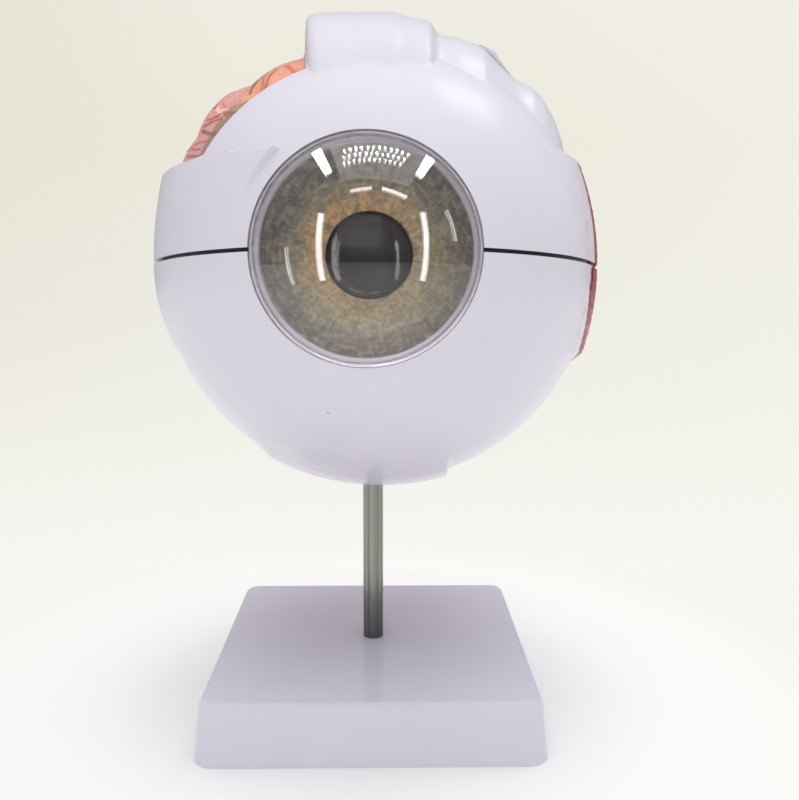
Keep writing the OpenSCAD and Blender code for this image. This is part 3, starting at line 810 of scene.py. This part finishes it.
def makeUpperShell():
    obj = halfShell("upperScleraForm", 1)
    carve(obj, windowCutter())
    carve(obj, cylinderCutter(nerve["outer"] + nerve["room"], (0, 0, 0), nerveDirection, 120))
    for x, y in pin["places"]:
        carve(obj, cylinderCutter(pin["radius"] + pin["room"], (x, y, -1), (0, 0, 1), 8, 24))
    settle(obj, eyeMatrix)
    smooth(obj, 30)
    return finishPiece(obj, "upper_half", "sclera_white", shellWhite, "upper_sclera")


def makeLowerShell():
    obj = halfShell("lowerScleraForm", -1)
    carve(obj, cylinderCutter(nerve["outer"], (0, 0, 0), nerveDirection, 120))
    for x, y in pin["places"]:
        carve(obj, cylinderCutter(pin["radius"], (x, y, -7), (0, 0, 1), 8, 24))
    inverse = eyeMatrix.inverted()
    down = (inverse.to_3x3() @ Vector((0, 0, 1))).normalized()
    foot = inverse @ Vector((0, 0, socket["foot"] * mm))
    carve(obj, cylinderCutter(socket["radius"], foot, down, socket["top"] - socket["foot"]), "UNION")
    carve(obj, cylinderCutter(socket["bore"], foot - down * 5, down, socket["rodTop"] - socket["foot"] + 5))
    settle(obj, eyeMatrix)
    smooth(obj, 30)
    return finishPiece(obj, "eyeball", "sclera_white", shellWhite, "lower_sclera")


upperShell = makeUpperShell()
print("upper shell:", len(upperShell.data.polygons), "faces")
lowerShell = makeLowerShell()
print("lower shell:", len(lowerShell.data.polygons), "faces")

# the photo's camera; the window's painting is placed by looking through it
view = {
    "place": (4.2, -346.5, 166.7), "lens": 40.05, "sensor": 36, "down": 7.9, "turn": 1.03, "roll": 0.15,
    "size": (799, 800)}


def cameraMatrix():
    yaw, pitch, roll = (math.radians(view[k]) for k in ("turn", "down", "roll"))
    forward = Vector((math.sin(yaw) * math.cos(pitch), math.cos(yaw) * math.cos(pitch), -math.sin(pitch)))
    right = Vector((math.cos(yaw), -math.sin(yaw), 0))
    up = right.cross(forward)
    tiltedRight = math.cos(roll) * right + math.sin(roll) * up
    tiltedUp = math.cos(roll) * up - math.sin(roll) * right
    matrix = Matrix((tiltedRight, tiltedUp, -forward)).transposed().to_4x4()
    matrix.translation = Vector(view["place"]) * mm
    return matrix


def toPicture(points):
    # where points of the eye's own frame (mm) fall in the picture
    matrix = np.array(cameraMatrix().inverted() @ eyeMatrix)
    seen = points @ matrix[:3, :3].T + matrix[:3, 3]
    focal = view["lens"] / view["sensor"] * max(view["size"])
    depth = -seen[:, 2:]
    return np.array(view["size"]) / 2 + focal * seen[:, :2] / depth * np.array([1, -1])


windowBed = {
    "inner": 77.2, "gap": 0.12, "cells": (150, 215),
    "mounds": ((-46, 78, 26, 3.6), (-28, 82, 34, 1.6), (-59, 78, 24, 1.9)),
    "pink": (224, 152, 146), "orange": (240, 150, 112), "colourSplit": (236, 262),
}
# strokes of the painting, with one painted shadow along the window's front edge, as seen in the photo: colour,
# width and points, in picture pixels
strokes = [
    ((134, 112, 86), 9, ((247, 106), (233, 113), (223, 123), (214, 137), (207, 150), (200, 168))),
    ((112, 104, 98), 5, ((236, 117), (224, 133), (213, 146), (203, 166))),
    ((160, 136, 96), 6, ((243, 106), (230, 110), (226, 114))),
    ((248, 162, 128), 12, ((300, 62), (290, 68), (276, 78))),
    ((226, 92, 76), 4.5, ((287, 66), (292, 70), (297, 74))),
    ((236, 172, 112), 7, ((244, 97), (249, 96))),
    ((112, 52, 30), 1.5, ((295, 56), (289, 59), (280, 64), (270, 70), (265, 72))),
    ((130, 64, 36), 1.4, ((290, 59), (282, 66), (276, 70), (270, 76), (267, 83), (265, 89))),
    ((118, 38, 34), 1.9, ((264, 71), (262, 76), (257, 82), (252, 89), (250, 94))),
    ((196, 84, 80), 2.0, ((265, 72), (264, 80), (262, 91))),
    ((204, 96, 88), 1.2, ((268, 84), (266, 92), (261, 98))),
    ((122, 70, 60), 3.2, ((266, 68), (263, 71))),
    ((204, 104, 96), 1.2, ((252, 80), (258, 78), (262, 76))),
    # painted shadow: the dark line along the window's front edge, below the white wall
    ((44, 22, 18), 1.7, ((305, 71.5), (297, 74), (290, 77), (283, 80.5), (270, 88), (254, 101))),
    ((158, 106, 100), 1.7, ((229, 91), (224, 94), (219, 99), (212, 105), (209, 109))),
    ((196, 112, 104), 1.3, ((219, 99), (223, 104), (228, 109))),
    ((250, 212, 182), 2.2, ((210, 109), (217, 104), (219, 112), (224, 118))),
    ((250, 212, 182), 2.0, ((228, 109), (219, 112), (213, 107))),
    ((172, 70, 76), 1.7, ((203, 121), (212, 119), (220, 115), (230, 112), (237, 112))),
    ((168, 62, 70), 1.8, ((202, 128), (212, 122), (220, 119), (232, 113))),
    ((106, 78, 70), 3.6, ((198, 128), (204, 132), (212, 134.5), (222, 133))),
    ((160, 78, 80), 1.6, ((190, 147), (195, 150), (200, 149))),
    ((166, 84, 84), 1.6, ((192, 147), (198, 143), (207, 141))),
    ((148, 104, 104), 2.2, ((188, 142), (190, 148))),
    ((146, 70, 74), 2.3, ((184, 157), (193, 156), (203, 157))),
]


def alongStroke(points, line):
    # distance of each point from a bent line
    nearest = np.full(len(points), 1e9)
    for a, b in zip(np.array(line[:-1], float), np.array(line[1:], float)):
        run = b - a
        t = np.clip(((points - a) @ run) / (run @ run), 0, 1)
        nearest = np.minimum(nearest, np.linalg.norm(points - a - t[:, None] * run, axis=1))
    return nearest


def wanderingVessels(rng, count):
    # branching lines over the part of the window that the photo doesn't show
    lines = []
    for _ in range(count):
        place = np.array([rng.uniform(-30, 42), rng.uniform(0, 66)])
        heading = rng.uniform(0, 2 * math.pi)
        width = rng.uniform(0.5, 1.1)
        queue = [(place, heading, width)]
        while queue and len(lines) < count * 5:
            place, heading, width = queue.pop()
            line = [tuple(place)]
            for _ in range(rng.integers(4, 8)):
                heading += rng.normal(0, 0.35)
                place = place + 4.0 * np.array([math.cos(heading), math.sin(heading)])
                line.append(tuple(place))
            lines.append((width, line))
            if width > 0.4:
                queue += [(place, heading + bend, width * 0.68) for bend in (-0.6, 0.5)]
    return lines


def makeWindow():
    w, bed = window, windowBed
    across, along = bed["cells"]
    deselectAll()
    bpy.ops.mesh.primitive_grid_add(x_subdivisions=across, y_subdivisions=along, size=2)
    obj = named(bpy.context.object, "paintedWindow")
    openMesh(obj)
    bpy.ops.mesh.extrude_region_move(TRANSFORM_OT_translate={"value": (0, 0, -1)})
    closeMesh()
    flat = meshPoints(obj)
    outer = flat[:, 2] > -0.5
    y = np.interp(flat[:, 1], [-1, 1], [w["front"] + bed["gap"], w["back"] - bed["gap"]])
    wall = np.interp(y, [w["front"], w["bend"]], [-w["frontX"], -w["backX"]]) + bed["gap"]

    def onShell(radius):
        # the outline is straight in x and z, so the bearing depends on the radius
        rho = np.sqrt(radius ** 2 - y ** 2)
        first = np.arcsin(wall / rho)
        last = np.arccos((w["low"] + bed["gap"]) / rho)
        bearing = first + (flat[:, 0] + 1) / 2 * (last - first)
        return np.stack([-rho * np.sin(bearing), y, rho * np.cos(bearing)], axis=1), bearing

    points, bearing = onShell(np.full(len(y), w["radius"]))
    radius = np.full(len(y), w["radius"])
    for _ in range(4):
        dirs = points / np.linalg.norm(points, axis=1)[:, None]
        radius = np.full(len(y), w["radius"])
        for clock, off, spread, height in bed["mounds"]:
            clock, off = math.radians(clock), math.radians(off)
            aim = np.array([math.sin(off) * math.sin(clock), -math.cos(off), math.sin(off) * math.cos(clock)])
            centre = aim * (w["radius"] + height - spread)
            forward = dirs @ centre
            under = np.maximum(forward ** 2 - centre @ centre + spread ** 2, 0)
            bulge = forward + np.sqrt(under) - radius
            radius += 0.5 * (bulge + np.sqrt(bulge ** 2 + 0.4)) - 0.18 * np.exp(-np.abs(bulge))
        radius = np.maximum(radius, w["radius"])
        points, bearing = onShell(radius)
    rng = np.random.default_rng(5)
    colours = np.zeros((len(y), 3))
    pixels = toPicture(points)
    share = step(pixels[:, 0], *bed["colourSplit"])[:, None]
    colours[:] = np.array(bed["pink"]) * (1 - share) + np.array(bed["orange"]) * share
    ground = np.stack([y, bearing * w["radius"]], axis=1)
    raised = np.zeros(len(y))
    eyePoint = np.array(eyeMatrix.inverted() @ (Vector(view["place"]) * mm))
    faces = np.einsum("ij,ij->i", points, eyePoint - points) > 0
    for width, line in wanderingVessels(rng, 30):
        mask = 1 - step(alongStroke(ground, line), width * 0.3, width * 0.75)
        mask *= np.where(faces & (y < 5), 0.0, 1.0)
        shade = np.array([150, 52, 52]) + rng.uniform(-14, 14)
        colours = colours * (1 - mask[:, None] * 0.8) + shade * mask[:, None] * 0.8
        raised = np.maximum(raised, mask * 0.22)
    for shade, width, line in strokes:
        mask = (1 - step(alongStroke(pixels, line), width * 0.32, width * 0.72)) * faces
        colours = colours * (1 - mask[:, None] * 0.92) + np.array(shade) * mask[:, None] * 0.92
        if width < 2.5:
            raised = np.maximum(raised, mask * 0.2)
    points *= (1 + raised / np.linalg.norm(points, axis=1))[:, None]
    innerPoints, _ = onShell(np.full(len(y), bed["inner"]))
    points[~outer] = innerPoints[~outer]
    colours[~outer] = (120, 52, 36)
    setPoints(obj, points)
    paint = obj.data.color_attributes.new("paint", "FLOAT_COLOR", "POINT")
    scaled = np.clip(colours / 255, 0, 1)
    linear = np.where(scaled <= 0.04045, scaled / 12.92, ((scaled + 0.055) / 1.055) ** 2.4)
    paint.data.foreach_set("color", np.concatenate([linear, np.ones((len(y), 1))], axis=1).ravel())
    settle(obj, eyeMatrix)
    smooth(obj, 50)
    return finishPiece(obj, "upper_half", "window_orange", windowPaint, "window_choroid")


paintedWindow = makeWindow()
print("window painted:", len(paintedWindow.data.polygons), "faces")

irisForm = {
    "outside": 34.0, "edge": 64.9, "rings": 64, "fibres": 0.28,
    "funnel": [(33.0, 69.3), (26.42, 61.44), (20.03, 56.57), (15.2, 55.0), (14.2, 54.44)],
    "under": [(14.2, 53.6), (20.53, 55.17), (26.92, 60.03), (30.7, 64.9)]}
# spheres of the clear pieces: radius and centre on the eye's axis, and how far from it they reach
corneaForm = {"outer": 46.8, "inner": 45.0, "centre": 40.73, "reach": 35.02, "innerReach": 33.8, "seat": 69.6}
lensForm = {"front": (44.0, 10.86), "back": (34.0, 64.26), "reach": 26.8, "rim": 27.0}


def makeIris():
    f = irisForm
    rings = f["rings"]
    radii, heights = zip(*sorted(f["funnel"]))
    along = np.linspace(f["funnel"][0][0], f["funnel"][-1][0], rings)
    curve = sum(np.interp(along + shift, radii, heights) for shift in (-0.8, -0.4, 0, 0.4, 0.8)) / 5
    curve[0], curve[-1] = heights[-1], heights[0]
    profile = [(f["outside"], f["edge"]), (f["outside"], heights[-1])] + list(zip(along, curve)) + f["under"]
    obj = lathe("irisDish", profile, 720)
    points = meshPoints(obj)
    radius = np.hypot(points[:, 0], points[:, 1])
    angle = np.arctan2(points[:, 1], points[:, 0])
    front = points[:, 2] > np.interp(radius, radii, heights) - 0.4
    front &= (radius > 14.6) & (radius < 32.6)
    rng = np.random.default_rng(3)
    relief = np.zeros(len(points))
    for _ in range(26):
        turns = rng.integers(18, 150)
        start, bend = rng.uniform(0, 2 * math.pi), rng.uniform(-1.4, 1.4)
        middle, spread = rng.uniform(15, 32), rng.uniform(3, 9)
        waves = np.cos(angle * turns + start + bend * (radius - 22) / 4)
        relief += waves * np.exp(-((radius - middle) / spread) ** 2)
    # a raised ring where the inner zone meets the outer one
    relief = 0.5 - 0.16 * relief - 0.5 * np.exp(-((radius - 20.5 - 0.7 * np.sin(angle * 9)) / 0.9) ** 2)
    depth = np.clip(relief, 0, 1) * f["fibres"] * step(radius, 14.6, 15.6) * (1 - step(radius, 31.6, 32.6))
    points[front, 2] -= depth[front]
    setPoints(obj, points)
    settle(obj, axisMatrix)
    smooth(obj, 40)
    return finishPiece(obj, "iris", "iris_hazel", irisHazel, "iris")


def capArc(radius, centre, fromRho, toRho, count, side=1):
    # points of a sphere's cap between two distances from the axis
    return [
        (rho, centre + side * math.sqrt(radius ** 2 - rho ** 2)) for rho in np.linspace(fromRho, toRho, count)]


def makeCornea():
    steps, count = ((180, 48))
    c = corneaForm
    outer = capArc(c["outer"], c["centre"], c["reach"], 0, count)
    inner = capArc(c["inner"], c["centre"], 0, c["innerReach"], count)
    foot = [(c["innerReach"], c["seat"]), (35.45, c["seat"]), (35.6, 69.75), (35.6, 71.55), (35.45, 71.7)]
    obj = settle(lathe("corneaDome", foot + outer + inner, steps), axisMatrix)
    smooth(obj, 30)
    return finishPiece(obj, "cornea", "cornea_clear", corneaClear, "cornea")


def makeLens():
    steps, count = ((160, 40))
    f = lensForm
    front = capArc(*f["front"], 0, f["reach"], count)
    back = capArc(*f["back"], f["reach"], 0, count, -1)
    rim = [(f["rim"], front[-1][1] - 0.15), (f["rim"], back[0][1] + 0.15)]
    obj = settle(lathe("clearLens", front + rim + back, steps), axisMatrix)
    smooth(obj, 30)
    return finishPiece(obj, "lens", "lens_clear", lensClear, "lens")


irisDish = makeIris()
print("iris:", len(irisDish.data.polygons), "faces")
corneaDome = makeCornea()
clearLens = makeLens()
print("cornea and lens made")


# muscles: the CAD pieces remeshed finely, rounded, and furrowed inwards along their fibres
muscleWork = {"voxel": 0.75, "quickVoxel": 2.0, "furrow": 0.35, "smooth": 6}
muscles = {
    "inferior_rectus": ("eyeball", "muscle_red"), "lower_medial_rectus": ("eyeball", "muscle_red"),
    "lower_lateral_rectus": ("eyeball", "muscle_red"), "inferior_oblique": ("eyeball", "muscle_red"),
    "superior_rectus": ("upper_half", "muscle_red"), "upper_medial_rectus": ("upper_half", "muscle_red"),
    "upper_lateral_rectus": ("upper_half", "muscle_red"), "superior_oblique": ("upper_half", "oblique_white")}


def makeMuscle(node, body, slot, material):
    obj = cadCopy(node, node + "_fibres")
    lowest, highest = meshPoints(obj).min(axis=0), meshPoints(obj).max(axis=0)
    size = muscleWork["voxel"] * mm
    useModifier(obj, "REMESH", mode="VOXEL", voxel_size=size, use_smooth_shade=True)
    useModifier(obj, "SMOOTH", factor=0.4, iterations=muscleWork["smooth"])
    toEye = np.array(eyeMatrix.inverted())
    points = meshPoints(obj)
    eye = points @ toEye[:3, :3].T + toEye[:3, 3]
    reach = np.linalg.norm(eye, axis=1)
    angle = np.arctan2(eye[:, 2], eye[:, 0])
    around = angle * 84.0
    if "oblique" in node:
        around = eye[:, 1] * 1.2 + eye[:, 2] * 0.3
    along = eye[:, 1] if "oblique" not in node else eye[:, 0]
    furrow = sum(np.cos(around * pitch + along * drift + start) for pitch, drift, start in (
        (1.5, 0.05, 0.0), (2.3, -0.04, 1.9), (3.4, 0.03, 4.0), (4.6, -0.06, 2.2))) / 4
    raised = step(reach, ball["outer"] + 0.5, ball["outer"] + 1.6)
    depth = (0.5 - 0.5 * furrow) * raised * muscleWork["furrow"]
    reach = reach - depth
    # in front, the red parts run on from the white ones, and the tendon lies thinly on its bed
    bed = outerRadius(eye / np.linalg.norm(eye, axis=1)[:, None], 1 if body == "upper_half" else -1, False)
    past = step(eye[:, 1], 6, 24) * 12
    if "medial" in node or "lateral" in node:
        reach = np.minimum(reach, bed + 0.05 + past)
    if node == "superior_oblique":
        taper = 1 - step(toPicture(eye)[:, 0], 492, 513)
        reach = np.minimum(reach, bed + 0.3 + 2.0 * taper + past)
    eye *= (reach / np.linalg.norm(eye, axis=1))[:, None]
    if node == "lower_medial_rectus":
        eye[:, 1] = np.maximum(eye[:, 1], lowerEnd(medialStrap, eye[:, 2]))
    if node == "superior_rectus":
        eye[:, 0] = np.maximum(eye[:, 0], -25.9)
    back = np.array(eyeMatrix)
    points = eye @ back[:3, :3].T + back[:3, 3]
    setPoints(obj, np.clip(points, lowest, highest))
    smooth(obj, 60)
    return finishPiece(obj, body, slot, material, node)


for node, (body, slot) in muscles.items():
    made = makeMuscle(node, body, slot, obliqueTendon if node == "superior_oblique" else muscleRed)
    print("muscle:", node, len(made.data.polygons), "faces")


# vessels that run over the retina from the optic disc, a little raised
retina = {"radius": 73.72, "disc": (0.225, 0.974), "widths": (0.42, 0.14), "length": 92}


def retinaLines(rng, half):
    lines = []
    start = np.array([retina["disc"][0], retina["disc"][1], 0.05 * half])
    for k, aim in enumerate((0.35, 0.9, 1.6, 2.3, 2.85)):
        direction = np.array([math.cos(aim), -0.4, math.sin(aim) * half])
        queue = [(start, direction, retina["widths"][0] * (1 - 0.1 * (k % 2)), 15)]
        while queue:
            place, direction, width, count = queue.pop()
            line = []
            for _ in range(count):
                place = place / np.linalg.norm(place)
                if place[2] * half < 0.012 or place[1] < -0.45:
                    break
                line.append(place * (retina["radius"] + width * 0.3))
                direction = direction - (direction @ place) * place
                direction = direction / np.linalg.norm(direction) + rng.normal(0, 0.14, 3)
                place = place + direction * 0.07
            if len(line) > 2:
                lines.append((width, line))
                if width > 0.2:
                    side = np.cross(place, direction)
                    for bend in (-0.55, 0.5):
                        queue.append((place, direction + side * bend, width * 0.72, count - 2))
    return lines


def makeRetinaVessels(name, half, body):
    rng = np.random.default_rng(8 if half > 0 else 9)
    curve = bpy.data.curves.new(name, "CURVE")
    curve.dimensions = "3D"
    curve.bevel_depth = 1.0
    curve.bevel_resolution = 1
    curve.use_fill_caps = True
    for width, line in retinaLines(rng, half):
        spline = curve.splines.new("POLY")
        spline.points.add(len(line) - 1)
        for i, place in enumerate(line):
            spline.points[i].co = (*place, 1)
            spline.points[i].radius = width * (1 - 0.25 * i / len(line))
    pick(addObject(name, curve))
    bpy.ops.object.convert(target="MESH")
    obj = named(bpy.context.object, name)
    openMesh(obj)
    closeMesh(0.0005)
    settle(obj, eyeMatrix)
    smooth(obj, 60)
    return finishPiece(obj, body, "artery_red", arteryRed)


makeRetinaVessels("retinaVesselsLower", -1, "eyeball")
makeRetinaVessels("retinaVesselsUpper", 1, "upper_choroid")
print("retina vessels made")


# CAD nodes that keep their shape get their materials
for node, material in {
        "base_plate": baseWhite, "insert_nut": insertBrass, "rod": rodSteel, "locating_pins": pinWhite,
        "lower_choroid": choroidCoat, "upper_choroid": choroidCoat, "nerve_sheath": sheathCream,
        "optic_nerve": nerveYellow, "central_artery": arteryRed, "central_vein": veinBlue,
        "vitreous_body": vitreousClear, "ciliary_body": ciliaryBrown}.items():
    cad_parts[node].data.materials.clear()
    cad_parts[node].data.materials.append(material)
print("CAD nodes dressed")


# stage: a pale floor that fades into a cream backdrop, as in a cut-out product photo
stageLook = {
    "floor": ((0.88, 0.87, 0.86, 1), (0.8, 0.8, 0.8, 1)), "fade": (88.0, 190.0), "ambient": (0.93, 0.93, 0.95),
    # strength of the world, and what shiny faces see of it
    "powers": (0.8, 0.36),
    "backdrop": ((0.0, (248, 246, 243)), (0.3, (247, 248, 243)), (0.46, (242, 241, 234)), (0.62, (237, 236, 226)),
                 (0.82, (236, 233, 220)), (1.0, (239, 236, 225))),
    "leftEdge": (229, 224, 212)}


def backdropColour(tree):
    # the backdrop's colour by height in the picture, a little darker at the left edge
    parts = parting(tree, addNode(tree, "ShaderNodeTexCoord").outputs["Window"])
    colour = ramp(tree, parts["Y"], stageLook["backdrop"])
    left = mapRange(tree, parts["X"], 0.3, 0.0, 0.0, 0.75)
    left = times(tree, left, mapRange(tree, parts["Y"], 0.4, 0.9, 0.1, 1.0))
    right = mapRange(tree, parts["X"], 0.6, 1.0, 0.0, 0.4)
    colour = mixColour(tree, left, colour, stageLook["leftEdge"])
    return mixColour(tree, right, colour, (247, 245, 238))


def makeStage():
    deselectAll()
    bpy.ops.mesh.primitive_circle_add(vertices=96, radius=3, fill_type="NGON", location=(0, 0, 0))
    floor = named(bpy.context.object, "floor")
    material, tree, bsdf, output = newMaterial("PalePaper")
    points = objectPoints(tree)
    fibres = mapRange(tree, noise(tree, points, 0.4, 3, 0.6), 0.3, 0.7, 0.0, 0.06)
    feed(tree, bsdf, mixColour(tree, fibres, *stageLook["floor"]), 0.9)
    reach = lengthOf(tree, points)
    shine = addNode(tree, "ShaderNodeEmission", {"Color": backdropColour(tree)})
    light = tree.nodes.new("ShaderNodeLightPath")
    far = mapRange(tree, reach, *stageLook["fade"])
    shareOut(tree, output, times(tree, far, light.outputs["Is Camera Ray"]), bsdf, shine)
    floor.data.materials.append(material)


def makeWorld():
    world = bpy.data.worlds.new("studio")
    bpy.context.scene.world = world
    world.use_nodes = True
    tree = world.node_tree
    tree.nodes.clear()
    output = tree.nodes.new("ShaderNodeOutputWorld")
    light = tree.nodes.new("ShaderNodeLightPath")
    power = mapRange(tree, light.outputs["Is Glossy Ray"], 0.0, 1.0, *stageLook["powers"])
    ambient = addNode(tree, "ShaderNodeBackground", {"Color": (*stageLook["ambient"], 1), "Strength": power})
    seen = addNode(tree, "ShaderNodeBackground", {"Color": backdropColour(tree)})
    shareOut(tree, output, light.outputs["Is Camera Ray"], ambient, seen)


def makeCamera():
    data = bpy.data.cameras.new("camera")
    data.lens = view["lens"]
    data.sensor_width = view["sensor"]
    data.clip_start = 0.01
    obj = addObject("camera", data)
    obj.matrix_world = cameraMatrix()
    bpy.context.scene.camera = obj


def makeLamp(name, place, target, size, radiance, along=None, glossy=True, receivers=None):
    # an area lamp; its long side follows "along", and receivers limits what it lights
    data = bpy.data.lights.new(name, "AREA")
    data.shape = "RECTANGLE"
    data.size, data.size_y = size
    data.energy = radiance * math.pi * size[0] * size[1]
    obj = addObject(name, data)
    back = (Vector(place) - Vector(target)).normalized()
    side = Vector(along) if along else Vector((0, 0, 1)).cross(back)
    side = (side - back * side.dot(back)).normalized()
    matrix = Matrix((side, back.cross(side), back)).transposed().to_4x4()
    matrix.translation = place
    obj.matrix_world = matrix
    obj.visible_camera = False
    obj.visible_glossy = glossy
    if receivers:
        obj.light_linking.receiver_collection = receivers
    return obj


def mirrorPlace(px, py, distance):
    # where a lamp has to hang to glint in the cornea at a picture point
    matrix = cameraMatrix()
    focal = view["lens"] / view["sensor"] * max(view["size"])
    wide, high = view["size"]
    ray = matrix.to_3x3() @ Vector(((px - wide / 2) / focal, (high / 2 - py) / focal, -1)).normalized()
    start = matrix.translation
    middle = axisMatrix @ Vector((0, 0, corneaForm["centre"]))
    toMiddle = middle - start
    along = toMiddle.dot(ray)
    radius = corneaForm["outer"] * mm
    touch = along - math.sqrt(max(radius ** 2 - (toMiddle.length_squared - along ** 2), 0))
    point = start + ray * touch
    normal = (point - middle).normalized()
    return point + (ray - 2 * ray.dot(normal) * normal) * distance, point


def makeGlint(name, first, last, width, radiance, receivers, distance=0.55):
    # a strip lamp whose reflection runs from one picture point to the other
    placeA, pointA = mirrorPlace(*first, distance)
    placeB, pointB = mirrorPlace(*last, distance)
    pixels = math.dist(first, last)
    aside = ((first[1] - last[1]) / pixels * width / 2, (last[0] - first[0]) / pixels * width / 2)
    middle = ((first[0] + last[0]) / 2, (first[1] + last[1]) / 2)
    sides = [mirrorPlace(middle[0] + k * aside[0], middle[1] + k * aside[1], distance)[0] for k in (-1, 1)]
    size = ((placeB - placeA).length, (sides[1] - sides[0]).length)
    place, target = (placeA + placeB) / 2, (pointA + pointB) / 2
    makeLamp(name, place, target, size, radiance, placeB - placeA, receivers=receivers)


def collect(name, *objects):
    group = bpy.data.collections.new(name)
    for obj in objects:
        group.objects.link(obj)
    return group


makeStage()
makeWorld()
makeCamera()

ballMiddle = Vector((0, 0, eyePlace["z"] * mm))
shells = collect("whitesOnly", upperShell, lowerShell)
clears = collect("clearOnly", corneaDome, clearLens)
makeLamp("ceilingPanel", (0.1, 0.0, 1.7), ballMiddle, (1.6, 1.4), 2.5, glossy=False)
makeLamp("frontPanel", (-0.3, -1.9, 0.9), ballMiddle, (1.2, 0.9), 0.7, glossy=False)
glowPlace = ballMiddle + Vector((0.46, 0.22, 0.86)).normalized() * 1.3
makeLamp("scleraGlow", glowPlace, ballMiddle, (0.42, 0.42), 2.0, receivers=shells)

ring = {"x": 371, "y": 250}


def onRing(degrees, radius):
    # a picture point at a clock angle and distance from the middle of the iris
    a = math.radians(degrees)
    return ring["x"] + radius * math.sin(a), ring["y"] - radius * math.cos(a)


# reflections of the room in the cornea: first and last point, width in pixels, brightness
glints = [
    (onRing(331, 88), onRing(331, 114), 9, 34), (onRing(33, 88), onRing(33, 114), 9, 34),
    ((321, 213), (318, 246), 5.5, 15), ((318, 246), (322, 281), 5.5, 12),
    ((423, 212), (427, 246), 5, 15), ((427, 246), (423, 281), 5, 12),
    ((350, 191), (372, 187), 2.5, 15), ((382, 188), (407, 197), 3, 18),
    (onRing(62, 86), onRing(84, 86), 1.6, 13), (onRing(242, 86), onRing(272, 86), 1.6, 11)]
for index, (first, last, width, radiance) in enumerate(glints):
    makeGlint(f"glint{index}", first, last, width, radiance, clears)
# the rows of small lamps above the pupil
for row in range(3):
    for column in range(12):
        degrees = (column - 5.5) * 3.3 + row * 1.2
        radius = 91 + row * 6
        makeGlint(f"dot{row}_{column}", onRing(degrees, radius), onRing(degrees + 1.4, radius), 2.4, 46, clears)

bpy.context.scene.view_settings.view_transform = "Standard"
